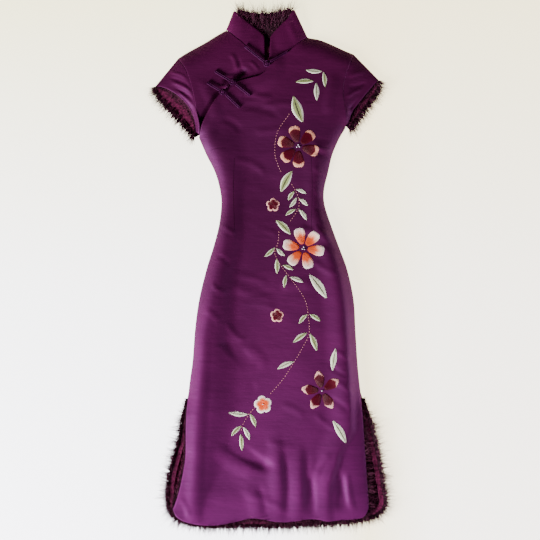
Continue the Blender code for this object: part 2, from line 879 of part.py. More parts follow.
def build_collar():
    """One band from the right centre front, round the flattened neck, to the left centre front."""
    middle = COLLAR_SATIN / 2
    angles = [90, 45, 0, -45, -90]
    columns = []

    def front_column(row, fold_share):
        raised = front_under if row.base_x > -6 else under
        base = (row.base_x, row.base_y + 0.5, raised(row.base_x, row.base_y) + middle)
        top = (row.top_x, row.top_y, COLLAR_TOP_HEIGHT + middle - 1.0 * fold_share)
        columns.append((base, top))

    def fold_columns(row, side, order):
        for angle in order:
            turn = math.radians(angle)
            ends = []
            marks = (
                (row.base_x, row.base_y + 0.5, COLLAR_FOLD_BASE, SEAM_HEIGHT + 2.2),
                (row.top_x, row.top_y, COLLAR_FOLD_TOP, COLLAR_TOP_HEIGHT - 1.4),
            )
            for x, y, radius, high in marks:
                inset = radius * (1 - math.cos(turn))
                height = middle + high / 2 * (1 + math.sin(turn))
                ends.append((x - side * inset, y, height))
            columns.append(tuple(ends))

    for index, row in enumerate(COLLAR_RIGHT):
        front_column(row, index / len(COLLAR_RIGHT))
    fold_columns(COLLAR_RIGHT_FOLD, -1, angles)
    for row in COLLAR_BACK:
        columns.append(((row.base_x, row.base_y, middle), (row.top_x, row.top_y, middle)))
    fold_columns(COLLAR_LEFT_FOLD, 1, angles[::-1])
    for index, row in enumerate(COLLAR_LEFT[::-1]):
        front_column(row, 1 - (index + 1) / len(COLLAR_LEFT))
    tall = 3

    def place(column, row):
        base, top = columns[column]
        return tuple(blend(a, b, row / tall) for a, b in zip(base, top))

    cloth_wall("collar", len(columns) - 1, tall, place, SATIN_PLUM, COLLAR_SATIN, 0.0)


def build_collar_fur():
    """Fur on the inside of the collar's back, standing out above its top edge."""
    lower = [Point(-80, 515), Point(-50, 507), Point(-7, 505), Point(40, 503), Point(66, 505)]
    upper = [Point(-69, 560), Point(-44, 556), Point(-11, 553), Point(20, 557), Point(43, 562)]
    lower_line = smooth_line(lower, 10)
    upper_line = smooth_line(upper, 10)
    shares = [0, 0.12, 0.28, 0.44, 0.6, 0.76, 0.88, 1.0]
    levels = [(0.0, 9.0), (0.3, COLLAR_FUR_TOP), (0.7, COLLAR_FUR_TOP), (1.0, COLLAR_FUR_TOP - 1.5)]
    tips = [(0.5, 8.0), (1.0, 5.0)]

    def place(column, row):
        share = shares[column]
        low = lower_line[round(share * (len(lower_line) - 1))]
        high = upper_line[round(share * (len(upper_line) - 1))]
        if row < len(levels):
            t, height = levels[row]
            side = 1 - abs(2 * share - 1) ** 4
            return blend(low.x, high.x, t), blend(low.y, high.y, t), blend(7.5, height, side)
        t, height = tips[row - len(levels)]
        spread = (share - 0.5) * 16 * t
        return high.x + spread, high.y + COLLAR_FUR_REACH * t, height

    filled_form(
        "collar_fur",
        len(shares) - 1,
        len(levels) + len(tips) - 1,
        place,
        lambda x, y: LINING_BOTTOM,
        FUR_BROWN,
    )


def frog_height(x, y):
    """Height for a cord's centre, clear of whatever lies below it nearby."""
    around = [(0, 0), (4, 0), (-4, 0), (0, 4), (0, -4)]
    return max(outside(x + dx, y + dy) for dx, dy in around) + CORD + FROG_LIFT


def strap_points(tail, head, loop_radius):
    """A doubled cord from its tail to its head, where it opens into a round loop."""
    dx, dy = head.x - tail.x, head.y - tail.y
    size = math.hypot(dx, dy)
    ux, uy = dx / size, dy / size
    half = CORD_PITCH / 2
    neck = math.sqrt(max(0.0, (loop_radius) ** 2 - half * half))
    straight = size - neck
    side = []
    for number in range(4):
        along = blend(half, straight, number / 3)
        side.append((along, half))
    round_part = []
    start = math.atan2(half, -neck)
    for number in range(1, 9):
        angle = blend(start, -start, number / 9)
        round_part.append((size + loop_radius * math.cos(angle), loop_radius * math.sin(angle)))
    back = [(along, -offset) for along, offset in reversed(side)]
    tail_turn = [(half - half * math.sin(turn), -half * math.cos(turn)) for turn in (0.5, 1.57, 2.64)]
    points = []
    for along, offset in side + round_part + back + tail_turn:
        x = tail.x + ux * along - uy * offset
        y = tail.y + uy * along + ux * offset
        points.append((x, y, frog_height(x, y)))
    return points


def build_frog(number, frog):
    """The loop on the lap's side, the knotted tail on the front and the ball between them."""
    knot = Point(frog.knot_x, frog.knot_y)
    lap_tail = Point(frog.lap_x, frog.lap_y)
    cord_loop(f"frog_{number}_loop", strap_points(lap_tail, knot, LOOP_RADIUS), CORD_PLUM)
    front_tail = Point(frog.front_x, frog.front_y)
    dx, dy = front_tail.x - knot.x, front_tail.y - knot.y
    size = math.hypot(dx, dy)
    head_radius = CORD_PITCH / 2 + 0.2
    stop = LOOP_RADIUS + 2 * CORD + head_radius + LAYER_GAP
    head = Point(knot.x + dx / size * stop, knot.y + dy / size * stop)
    cord_loop(f"frog_{number}_tail", strap_points(front_tail, head, head_radius), CORD_PLUM)
    mesh = bpy.data.meshes.new(f"frog_{number}_button")
    bm = bmesh.new()
    bmesh.ops.create_uvsphere(bm, u_segments=12, v_segments=8, radius=BUTTON * MM)
    bmesh.ops.scale(bm, vec=(1, 1, BUTTON_FLATTENED), verts=bm.verts)
    bm.to_mesh(mesh)
    bm.free()
    mesh.shade_smooth()
    ball = add_object(f"frog_{number}_button", mesh, CORD_PLUM)
    ground = max(outside(knot.x + dx, knot.y + dy) for dx in (-3, 0, 3) for dy in (-3, 0, 3))
    ball.location = (knot.x * MM, knot.y * MM, (ground + frog.lift + BUTTON * BUTTON_FLATTENED) * MM)


for leftover in list(bpy.data.objects):
    bpy.data.objects.remove(leftover)
collection = bpy.data.collections.new("Qipao")
bpy.context.scene.collection.children.link(collection)

build_back_panel()
build_back_lining()
build_back_trim()
build_front_lining()
build_front_trim()
build_front_panel()
build_under_lap()
build_sleeve("right_sleeve", RIGHT_SLEEVE, -1)
build_sleeve("left_sleeve", LEFT_SLEEVE, 1)
build_sleeve_fur("right_sleeve_fur", RIGHT_SLEEVE, -1)
build_sleeve_fur("left_sleeve_fur", LEFT_SLEEVE, 1)
build_collar()
build_collar_fur()
for number, frog in enumerate(FROGS, 1):
    build_frog(number, frog)
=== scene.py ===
"""The looks of a fur-lined qipao of plum satin, laid flat on its back.

Tables and the form functions below are in millimetres and become metres where a mesh is
made. +X runs to the wearer's left, +Y from the hem to the collar and +Z up from the
surface that the dress lies on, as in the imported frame.
"""

import math
from collections import namedtuple

import bmesh
import bpy
import numpy as np
from bpy.props import FloatProperty, FloatVectorProperty, PointerProperty
from mathutils import Matrix


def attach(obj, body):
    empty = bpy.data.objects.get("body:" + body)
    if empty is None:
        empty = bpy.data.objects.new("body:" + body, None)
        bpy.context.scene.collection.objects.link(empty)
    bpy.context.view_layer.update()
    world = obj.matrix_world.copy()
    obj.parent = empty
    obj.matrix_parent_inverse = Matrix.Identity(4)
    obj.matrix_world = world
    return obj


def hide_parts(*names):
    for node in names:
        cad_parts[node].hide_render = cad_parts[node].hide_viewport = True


bl_info = {
    "name": "Satin qipao laid flat",
    "version": (1, 0, 0),
    "blender": (4, 5, 0),
    "location": "View3D > Sidebar > Qipao",
    "description": "Cloth, fur, embroidery and frog closures of a qipao around its packed frame",
    "category": "Mesh",
}

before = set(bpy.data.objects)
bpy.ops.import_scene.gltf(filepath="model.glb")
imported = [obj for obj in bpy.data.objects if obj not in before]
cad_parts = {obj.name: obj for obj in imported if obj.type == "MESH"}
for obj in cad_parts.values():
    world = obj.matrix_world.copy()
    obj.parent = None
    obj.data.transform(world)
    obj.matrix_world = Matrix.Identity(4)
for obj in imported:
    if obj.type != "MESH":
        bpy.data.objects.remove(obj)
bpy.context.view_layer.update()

MM = 0.001
BODY = "root"

# Cloth, and the gaps between its layers
SATIN = 2.4
SLEEVE_SATIN = 2.0
SEAM_OVERLAP = 0.8
LAYER_GAP = 0.3
PLUSH_GAP = 1.3
FUR_GAP = 1.7
SEAM_HEIGHT = 2.7
FREE_EDGE_HEIGHT = 11.3
LINING_BOTTOM = 2.7
LINING_TOP = 5.0
FRONT_LINING_BOTTOM = 5.3
SIDE_ROUNDING = 46.0
SIDE_POWER = 3.0
FOLD_FLOOR = 6.2
FLOOR_SOFTNESS = 1.6
HEM_FLOOR_START = -446.0
HEM_FLOOR_FADE = 70.0
SLIT_TOP = -272.0
SLIT_OPEN = -330.0
LAP_RAISE = SATIN + 1.3
LAP_FULL = 15.0
LAP_FADE = 42.0
LINING_INSET = 7.0
FRONT_LINING_INSET = 14.0
TRIM_INSIDE = 12.0

# Levels that the panels' rows meet, and how closely their rows and columns stand
HEM_BEND = -440.0
UNDERARM = 286.0
FRONT_LEVELS = [HEM_BEND, SLIT_TOP, UNDERARM, 443.0, 469.0, 505.4]
LAP_LEVELS = [303.0, 385.0, 447.0, 521.0]
FRONT_PLUSH_LEVELS = [-512.0, HEM_BEND, -290.0, -250.0, UNDERARM, 306.0, 460.0, 488.0]
BACK_TOP_START, BACK_TOP = 380.0, 459.0
PLUSH_TOP_START, PLUSH_TOP = 372.0, 452.0
FRONT_SPACING, FRONT_COLUMNS = 3.3, 108
LAP_SPACING, LAP_COLUMNS = 2.6, 56
BACK_SPACING, BACK_COLUMNS = 6.0, 60
BACK_PLUSH_SPACING, BACK_PLUSH_COLUMNS = 5.0, 70
FRONT_PLUSH_SPACING, FRONT_PLUSH_COLUMNS = 9.0, 40

# Fur edging, cuffs and collar
FRONT_TRIM_START = -298.0
BACK_TRIM_START = -284.0
FRONT_FUR_REACH = 8.0
BACK_FUR_REACH = 9.5
BACK_FUR_TOP = 7.3
CUFF_FOLD_HEIGHT = 6.5
CUFF_CROWN = 4.5
SLEEVE_FUR_REACH = 10.0
TRIM_TAPER = 75.0
HAIR_FLOOR = 0.3
LINING_FUR_START = 150.0
COLLAR_SATIN = 2.2
COLLAR_TOP_HEIGHT = 12.8
COLLAR_FUR_TOP = 10.6
COLLAR_FUR_REACH = 11.0
COLLAR_FOLD_BASE = 1.9
COLLAR_FOLD_TOP = 4.6

# Frog closures
CORD = 1.5
CORD_PITCH = 2 * CORD + 0.2
FROG_LIFT = 0.7
BUTTON = 4.6
LOOP_RADIUS = BUTTON + CORD + 0.15
BUTTON_TURNS = 5
BUTTON_CORD = 1.15
BUTTON_HEIGHT = 0.85

# Embroidery
THREAD_WALL = 0.35
STITCH_SINK = 0.5
VINE_PITCH = 6.2
SEAM_RADIUS = 0.35

# Hairs: their numbers at the full density, how far they and their locks lean apart, and
# how their lengths and widths differ between the long guard hairs and the underfur
CUFF_HAIRS = 9000
COLLAR_HAIRS = 11000
PILE_PER_MM = 20
HAIR_SPREAD = 0.9
LOCK_SHARE = 0.19
HAIR_TAPER = 0.88
GUARD_LENGTHS, UNDERFUR_LENGTHS = (0.55, 1.2), (0.22, 0.46)
GUARD_WIDTH, UNDERFUR_WIDTH = 1.5, 0.9

# Stage, in metres
FLOOR_SIZE = 60.0
SENSOR_WIDTH = 36.0
CAMERA_Y = -0.0044

# Rolled edges of the satin
ROLL = 2.6
ROLL_DROP = 1.5
EDGE_INSETS = (0.0, 0.3, 0.8, 1.6, 2.8)

Point = namedtuple("Point", "x y")
CrownRow = namedtuple("CrownRow", "y height")
Fold = namedtuple("Fold", "x y near far height")
Crease = namedtuple("Crease", "x0 y0 x1 y1 bow width height")
SleeveRow = namedtuple("SleeveRow", "seam_y front_x front_y back_x back_y")
CollarRow = namedtuple("CollarRow", "base_x base_y top_x top_y")
Frog = namedtuple("Frog", "lap_x lap_y knot_x knot_y front_x front_y lift")
Flower = namedtuple("Flower", "x y start reach width shape angles finish")
Leaf = namedtuple("Leaf", "x0 y0 x1 y1 width bow finish")
Light = namedtuple("Light", "place size colour")


def rows_of(kind, *rows):
    """Rows of one kind of namedtuple, each given as its values in the order of the columns."""
    return [kind(*row) for row in rows]


# Outlines, each from its upper end to its lower end unless its name says otherwise
RIGHT_SHOULDER = rows_of(Point, (-96, 522), (-119, 509), (-145, 493), (-178, 475), (-202, 460))
LEFT_SHOULDER = rows_of(Point, (81, 506), (106, 502), (128, 494), (165, 477), (184, 469))
RIGHT_ARMHOLE = rows_of(
    Point,
    (-202, 460), (-185, 436), (-174, 405), (-167, 376), (-161, 343), (-155, 314), (-156, 286),
)
LEFT_ARMHOLE = rows_of(
    Point,
    (184, 469), (169, 430), (161, 394), (164, 359), (169, 330), (165, 306),
)
RIGHT_SIDE = rows_of(
    Point,
    (-156, 286), (-140, 249), (-121, 211), (-110, 172), (-107, 139), (-112, 95), (-123, 51),
    (-140, -4), (-156, -70), (-165, -136), (-170, -202), (-176, -246), (-179, -272),
)
LEFT_SIDE = rows_of(
    Point,
    (165, 306), (152, 284), (137, 249), (128, 211), (119, 172), (120, 139), (134, 95), (150, 51),
    (170, -4), (184, -70), (188, -136), (192, -202), (196, -246), (199, -272),
)
RIGHT_SLIT = rows_of(
    Point,
    (-179, -272), (-183, -312), (-185, -356), (-185, -400), (-188, -433), (-197, -471), (-208, -506),
    (-213, -528),
)
LEFT_SLIT = rows_of(
    Point,
    (199, -272), (204, -334), (207, -378), (210, -422), (213, -466), (216, -506), (216, -528),
)
FRONT_HEM = rows_of(
    Point,
    (-213, -528), (-206, -545), (-189, -556), (-167, -562), (-141, -565), (-110, -564), (-75, -557),
    (-40, -549), (-13, -552), (13, -557), (48, -557), (84, -551), (106, -552), (128, -556),
    (158, -553), (189, -551), (207, -545), (216, -528),
)
BACK_RIGHT_SLIT = rows_of(
    Point,
    (-179, -272), (-185, -304), (-191, -334), (-196, -370), (-202, -394), (-210, -422), (-217, -449),
    (-222, -480), (-223, -510), (-221, -524),
)
BACK_HEM = rows_of(
    Point,
    (-221, -524), (-213, -541), (-195, -552), (-165, -560), (-121, -563), (-66, -564), (-22, -565),
    (22, -564), (73, -562), (121, -559), (165, -555), (202, -550), (230, -543), (245, -532),
    (252, -516),
)
BACK_LEFT_SLIT = rows_of(
    Point,
    (252, -516), (249, -490), (244, -460), (239, -430), (234, -405), (228, -378), (221, -345),
    (211, -310), (199, -272),
)
RIGHT_NECK = rows_of(Point, (-96, 522), (-79, 508), (-58, 491), (-33, 466), (-9, 447))
LEFT_NECK = rows_of(Point, (81, 506), (66, 497), (51, 485), (20, 461), (-4, 443))
BACK_NECK = rows_of(
    Point,
    (-100, 518), (-86, 524), (-59, 529), (-7, 530), (44, 523), (71, 512.5), (85, 504.5),
)
PLACKET = rows_of(
    Point,
    (-4, 443), (-9, 433), (-26, 421), (-50, 415), (-75, 407), (-97, 393), (-118, 371), (-135, 344),
    (-149, 315), (-156, 286),
)
LAP_INNER_EDGE = rows_of(
    Point,
    (-9, 447), (0, 434), (-8, 420), (-26, 409), (-50, 401), (-72, 393), (-90, 380), (-108, 361),
    (-124, 336), (-138, 310), (-148, 290),
)

# Sleeves, from the fold at the shoulder to the underarm
RIGHT_SLEEVE = rows_of(
    SleeveRow,
    (460, -251, 399, -251, 399), (437, -232, 396, -245, 379), (405, -209, 384, -228, 356),
    (376, -189, 367, -209, 337), (345, -174, 347, -190, 316), (316, -165, 323, -173, 299),
    (293, -162, 299, -164, 287),
)
LEFT_SLEEVE = rows_of(
    SleeveRow,
    (469, 238, 413, 238, 413), (439, 223, 397, 236, 391), (405, 208, 379, 221, 368),
    (378, 194, 362, 206, 348), (354, 183, 348, 192, 330), (334, 177, 335, 182, 315),
    (313, 172, 318, 173, 305),
)

# The collar's two front halves from the centre front outwards, and its back across
COLLAR_RIGHT = rows_of(
    CollarRow,
    (-11, 449, -13, 506), (-33, 467, -19, 515), (-58, 492, -42, 533), (-77, 508, -62, 549),
)
COLLAR_LEFT = rows_of(
    CollarRow,
    (-2, 446, 1, 505), (20, 462, 8, 516), (49, 485, 28, 537), (66, 497, 42, 551),
)
COLLAR_RIGHT_FOLD = CollarRow(-96, 523, -80, 562)
COLLAR_LEFT_FOLD = CollarRow(82, 507, 54, 565)
COLLAR_BACK = rows_of(
    CollarRow,
    (-86, 525, -68, 560), (-59, 530, -44, 556), (-7, 531, -11, 553), (44, 524, 20, 557),
    (72, 514, 43, 562),
)

FROGS = rows_of(
    Frog,
    (-55, 485, -7, 447, 37, 473, 3.0), (-120, 430, -82, 407, -44, 377, 0.5),
    (-137, 405, -103, 385, -67, 351, 0.5),
)

# Height of the front panel's underside along the middle of the body
CROWN = rows_of(
    CrownRow,
    (-570, 11.6), (-520, 14.5), (-440, 17.0), (-250, 18.0), (-60, 18.0), (60, 16.5), (150, 15.0),
    (260, 17.0), (360, 17.0), (440, 14.5), (530, 13.0),
)

# The largest folds, each a chain of points. Near and far are its half widths towards -X and +X
FOLDS = [
    rows_of(
        Fold,
        (-124, 280, 26, 26, 1.0), (-107, 140, 26, 26, 2.0), (-114, 20, 28, 26, 2.4),
        (-130, -70, 28, 26, 2.8), (-150, -150, 27, 25, 2.8), (-154, -260, 28, 26, 3.6),
        (-163, -400, 28, 26, 4.0), (-167, -540, 26, 24, 3.2),
    ),
    rows_of(
        Fold,
        (-60, 340, 54, 120, -1.6), (-44, 250, 62, 170, -6.6), (-36, 150, 66, 180, -11.2),
        (-42, 60, 62, 184, -11.0), (-66, -20, 45, 194, -10.4), (-73, -90, 45, 204, -10.4),
        (-66, -160, 74, 200, -10.6), (-64, -320, 84, 180, -10.8), (-82, -392, 70, 150, -10.4),
        (-112, -470, 46, 120, -8.8), (-120, -560, 40, 90, -5.0),
    ),
    rows_of(
        Fold,
        (96, 270, 36, 20, 0.6), (110, 110, 36, 22, 4.4), (134, 44, 44, 24, 5.6),
        (150, -20, 48, 26, 6.4), (161, -100, 50, 26, 6.8), (167, -170, 52, 24, 7.6),
        (172, -290, 54, 22, 7.4), (172, -352, 56, 22, 7.0), (142, -410, 46, 20, 6.4),
        (126, -470, 34, 16, 6.0), (124, -556, 28, 18, 1.8),
    ),
    rows_of(
        Fold,
        (12, -360, 26, 18, 0.2), (18, -425, 32, 19, 4.6), (21, -480, 32, 20, 4.2),
        (18, -552, 26, 18, 0.8),
    ),
    rows_of(
        Fold,
        (64, -384, 22, 14, 0.2), (64, -440, 25, 17, 3.4), (66, -505, 28, 19, 4.6),
        (58, -556, 22, 18, 0.8),
    ),
]

# Single folds, which fade at their two ends: a line, its bow, half its width, its height
SINGLE_FOLDS = rows_of(
    Crease,
    (-112, -152, -44, -222, 6, 20, -3.0), (-126, -388, -20, -452, -8, 26, 2.4),
    (-98, -376, 12, -444, -4, 20, -4.8), (88, -446, 92, -548, 2, 13, -3.6),
    (150, -440, 156, -536, 4, 18, -4.4), (-60, -470, -24, -560, 9, 26, 1.4),
    (86, 268, 144, 260, 2, 18, 2.0), (-88, -38, 18, -74, -4, 20, 1.5),
    (-152, 418, -112, 318, 3, 19, 1.4), (146, 430, 124, 330, -3, 19, 2.0),
    (56, 86, 142, 60, 4, 13, 2.0), (20, -44, 96, -34, 5, 20, 1.8),
)

# Smaller creases on the front: a line, how far its middle bows, half its width, its height
CREASES = rows_of(
    Crease,
    (-88, 472, -70, 428, 4, 9, 1.5), (-70, 462, -52, 420, -4, 8, -1.3),
    (-46, 452, -24, 430, 3, 7, 1.1), (-60, 398, 10, 372, -8, 12, 1.3),
    (-72, 352, 26, 330, 9, 14, -1.4), (-20, 352, 60, 356, 6, 12, 1.0),
    (-110, 330, -60, 296, 6, 12, -1.3), (-40, 300, 46, 312, -6, 14, 1.3),
    (-84, 236, -6, 204, 10, 13, 1.2), (-50, 168, 34, 150, -8, 12, -1.1),
    (96, 268, 140, 256, -3, 7, 1.6), (90, 254, 132, 236, 4, 8, -1.3), (92, 220, 126, 196, 3, 9, 1.2),
    (98, 176, 122, 150, -3, 8, 1.3), (96, 132, 124, 118, 3, 8, -1.3), (96, 96, 130, 74, -4, 9, 1.3),
    (104, 58, 146, 30, 4, 10, -1.2), (92, 20, 152, -14, -6, 12, 1.2), (-40, 86, 20, 70, 5, 12, 1.0),
    (-118, 96, -74, 70, 4, 9, 1.2), (-120, 30, -86, 4, 3, 9, -1.0), (-132, -30, -92, -58, -4, 10, 1.1),
    (-150, -90, -108, -122, 5, 12, 1.0), (-90, -14, 2, -38, 6, 13, 0.9),
    (-84, -58, 10, -46, -7, 12, -0.8), (-70, -80, 20, -92, 6, 11, 1.0),
    (-96, -118, -50, -160, -8, 11, 1.3), (-60, -168, -8, -226, 9, 19, 1.1),
    (-30, -250, -78, -292, 7, 16, -1.4), (132, -180, 176, -206, 5, 9, 1.2),
    (126, -208, 172, -236, -4, 9, -1.2), (130, -246, 184, -280, 6, 10, 1.2),
    (120, -282, 176, -318, 5, 11, -1.2), (96, -316, 150, -354, -5, 11, 1.1),
    (20, -300, 78, -330, 7, 13, 1.0), (-12, -376, 60, -392, -5, 14, 1.0),
    (-28, -470, -10, -550, 4, 11, -1.3), (30, -392, 34, -560, 5, 13, -1.2),
    (84, -384, 88, -558, -5, 14, -1.3), (98, -462, 136, -404, 6, 12, 1.7),
    (150, -406, 128, -470, 5, 11, 1.4), (168, -446, 186, -540, -4, 12, 1.6),
    (-60, -500, 40, -536, 8, 13, 1.4), (-150, -520, -60, -542, -6, 12, 1.2),
    (-200, -500, -176, -548, 3, 10, 1.1), (-110, -470, -90, -540, 4, 12, -1.2),
)

# Creases on the sleeves, and shallow troughs in the back where it rests on the surface
SLEEVE_CREASES = rows_of(
    Crease,
    (-226, 432, -176, 412, 3, 5, 1.2), (-224, 418, -172, 396, 3, 5, -1.1),
    (-220, 408, -168, 382, 4, 5, 1.5), (-214, 396, -166, 366, 4, 5, -1.2),
    (-206, 388, -164, 350, 3, 5, 1.4), (-196, 372, -162, 334, 2, 4, -1.0),
    (212, 430, 170, 418, -3, 7, 1.3), (214, 408, 168, 396, 3, 6, -1.3),
    (204, 392, 166, 372, -3, 6, 1.4), (194, 372, 170, 346, 2, 6, -1.2),
)
BACK_CREASES = rows_of(
    Crease,
    (-150, 400, -60, 330, 12, 16, 1.0), (140, 410, 70, 330, -10, 15, 0.9),
    (-96, 180, 70, 150, 14, 18, 0.9), (-90, 120, 96, 132, -10, 15, 0.8),
    (-60, 20, -90, -200, 12, 22, 1.0), (70, -10, 96, -230, -14, 24, 1.0),
    (-110, -260, -130, -520, 8, 24, 1.0), (-10, -240, 4, -540, -12, 26, 0.9),
    (110, -300, 126, -530, 9, 22, 1.0), (-140, -60, -30, -110, 10, 14, 0.8),
)

# Where the lap sinks beside the placket
LAP_CREASES = rows_of(
    Crease,
    (-84, 412, -160, 292, -4, 15, -8.0), (-86, 410, -166, 300, -9, 27, -2.6),
    (-44, 434, -104, 404, -4, 13, -5.0),
)

# Front darts, each a sewn line down the panel
DARTS = [
    rows_of(Point, (90, 242), (92, 200), (92, 150), (90, 81)),
    rows_of(Point, (-78, 240), (-80, 200), (-80, 150), (-78, 84)),
    rows_of(Point, (99, 264), (116, 264), (132, 262)),
    rows_of(Point, (-96, 262), (-114, 262), (-130, 258)),
]

# Flowers: centre, where the petals start, their reach, width and shape, and their directions
FLOWERS = rows_of(
    Flower,
    (61.6, 266.2, 8, 47, 27, "round", (43, 103, 162, 221, 272, 345), "wine"),
    (73.3, 43.0, 8, 47, 26, "round", (48, 104, 167, 228, 287, 352), "orange"),
    (113.4, -269.0, 6, 46, 25, "pointed", (35, 101, 174, 240, 302), "rose"),
)
SMALL_FLOWERS = rows_of(
    Flower,
    (6.6, 138.6, 0, 16, 0.36, "lobed", (90, 5), "outlined"),
    (15.4, -104.5, 0, 16, 0.36, "lobed", (88, 5), "outlined"),
    (-15.4, -299.5, 0, 21, 0.30, "lobed", (100, 5), "blossom"),
)
BEADS = rows_of(
    Point,
    (58.6, 264.4), (64.4, 265.6), (61.8, 269.6), (71.0, 41.6), (75.4, 41.2), (73.6, 45.8),
    (113.4, -269.0), (-15.6, -299.0),
)
LEAVES = rows_of(
    Leaf,
    (115.5, 431, 77, 433.5, 11, 1.5, "pale"), (116.6, 431, 121, 395, 11, 1.0, "sage"),
    (97, 409, 55, 407, 12, -1.5, "sage"), (101, 407, 102.3, 365, 13, 0.5, "pale"),
    (72.6, 316.8, 50.6, 378.4, 26, 2.0, "sage"), (23, 165, 49.5, 214.5, 21, 2.0, "sage"),
    (56.3, 172.5, 80.5, 162.8, 9, 1.5, "pale"), (54.3, 169.4, 39.6, 147.4, 10, -1.5, "sage"),
    (59.4, 156.2, 41.8, 132, 9, 1.5, "pale"), (62.9, 152.7, 83.6, 135.1, 10, 1.5, "pale"),
    (58.3, 129.8, 33, 114.4, 9, -1.5, "sage"), (62.9, 129.8, 81.4, 103.4, 10, 1.5, "pale"),
    (46.2, 72.6, 11.9, 105.6, 17, -2.0, "sage"), (12.1, 46.2, -13.2, 24.2, 10, 1.5, "sage"),
    (14.1, 44, 33.9, 26.4, 10, -1.5, "pale"), (14.7, 22, 15.4, -14.3, 12, 1.0, "sage"),
    (27.3, 6.6, 51.9, -4.4, 10, 1.0, "sage"), (36.7, -14.3, 30.8, -44, 10, -1.0, "sage"),
    (43.1, -19.8, 73.7, -32.1, 11, 1.5, "pale"), (84.5, -12.5, 125.4, -68.2, 22, 2.0, "pale"),
    (82.9, -100.1, 62.7, -123.2, 10, -1.5, "sage"), (85.8, -101.2, 111.5, -116.6, 11, 1.5, "sage"),
    (82.9, -140.8, 49.9, -164.1, 12, -1.5, "sage"), (86.9, -142.3, 103, -182.6, 14, 1.5, "sage"),
    (54.3, -204.6, 14.7, -222.2, 12, -2.0, "pale"), (136.4, -226.6, 144.1, -173.8, 15, 1.0, "pale"),
    (136.4, -332.2, 167.2, -385, 18, 2.0, "pale"), (-46.2, -321.2, -92.4, -316.8, 12, 1.5, "pale"),
    (-44, -319, -30.8, -349.8, 11, 1.5, "sage"), (-61.6, -345.4, -85.8, -369.6, 10, -1.5, "sage"),
    (-59.4, -347.6, -44, -378.4, 11, 1.5, "pale"), (-64.7, -363, -61.6, -402.6, 11, 1.0, "sage"),
)
VINES = [
    rows_of(
        Point,
        (41.8, 336.6), (15.4, 294.8), (11, 250.8), (17.6, 226.6), (26.4, 206.8),
    ),
    rows_of(
        Point,
        (48.4, 182.6), (55, 171.6), (63.8, 149.6), (61.6, 129.8), (48.4, 107.8), (41.8, 99),
    ),
    rows_of(
        Point,
        (19.8, 79.2), (17.6, 55), (13.2, 44), (11, 30.8), (22, 8.8), (39.6, -15.4), (59.4, -41.8),
        (77, -70.4), (83.6, -101.2), (85.8, -143), (72.6, -171.6), (52.8, -206.8), (26.4, -246.4),
        (-2.2, -279.4),
    ),
    rows_of(
        Point,
        (-33, -305.8), (-46.2, -321.2), (-59.4, -343.2), (-63.8, -360.8),
    ),
]

# Lights, as places in metres, sizes in metres and colours
KEY_LIGHT = Light((-2.5, -1.85, 1.15), 1.3, (0.96, 0.95, 1.0))
FILL_LIGHT = Light((2.8, -0.5, 0.62), 1.2, (0.97, 0.64, 1.0))


# Lines and forms


def blend(a, b, t):
    return a + (b - a) * t


def ease(t):
    """A smooth step from 0 to 1."""
    t = np.clip(t, 0.0, 1.0)
    return t * t * (3 - 2 * t)


def curve_at(rows, share):
    """Points on a soft curve through the rows. Share runs from 0 at the first row to 1 at the last."""
    table = np.array([tuple(row) for row in rows], float)
    last = len(table) - 1
    place = np.clip(np.asarray(share, float), 0, 1) * last
    index = np.minimum(place.astype(int), last - 1)
    t = (place - index)[..., None]
    before, start = table[np.maximum(index - 1, 0)], table[index]
    end, after = table[index + 1], table[np.minimum(index + 2, last)]
    square = 2 * before - 5 * start + 4 * end - after
    cube = 3 * start - before - 3 * end + after
    return 0.5 * (2 * start + (end - before) * t + square * t**2 + cube * t**3)


def smooth_line(rows, spacing=8.0):
    """Points along the soft curve through the rows, at about even spacing."""
    fine = curve_at(rows, np.linspace(0, 1, 8 * (len(rows) - 1) + 1))
    lengths = np.concatenate([[0], np.cumsum(np.linalg.norm(np.diff(fine, axis=0), axis=1))])
    count = max(2, round(lengths[-1] / spacing) + 1)
    targets = np.linspace(0, lengths[-1], count)
    return np.stack([np.interp(targets, lengths, column) for column in fine.T], axis=1)


def smooth_edge(*tables):
    """One soft line along tables that meet end to start."""
    lines = [smooth_line(rows) for rows in tables]
    return np.vstack([line[:-1] for line in lines[:-1]] + [lines[-1]])


def side_at(line, y):
    """The line's x at a height, for a line that runs steadily downwards."""
    return np.interp(y, line[::-1, 1], line[::-1, 0])


def height_at(line, x):
    """The line's y at a place across it, for a line that runs steadily along X."""
    return np.interp(x, line[:, 0], line[:, 1])


def distance(x, y, line):
    """How far each place lies from the nearest part of a line."""
    best = np.full(np.shape(x), np.inf)
    for (x0, y0), (x1, y1) in zip(line, line[1:]):
        dx, dy = x1 - x0, y1 - y0
        t = np.clip(((x - x0) * dx + (y - y0) * dy) / (dx * dx + dy * dy), 0, 1)
        best = np.minimum(best, np.hypot(x - x0 - t * dx, y - y0 - t * dy))
    return best


def left_normals(line):
    """Unit steps to the left-hand side of a line at each of its points."""
    along = np.gradient(line[:, :2], axis=0)
    along /= np.linalg.norm(along, axis=1)[:, None]
    return np.stack([-along[:, 1], along[:, 0]], axis=1)


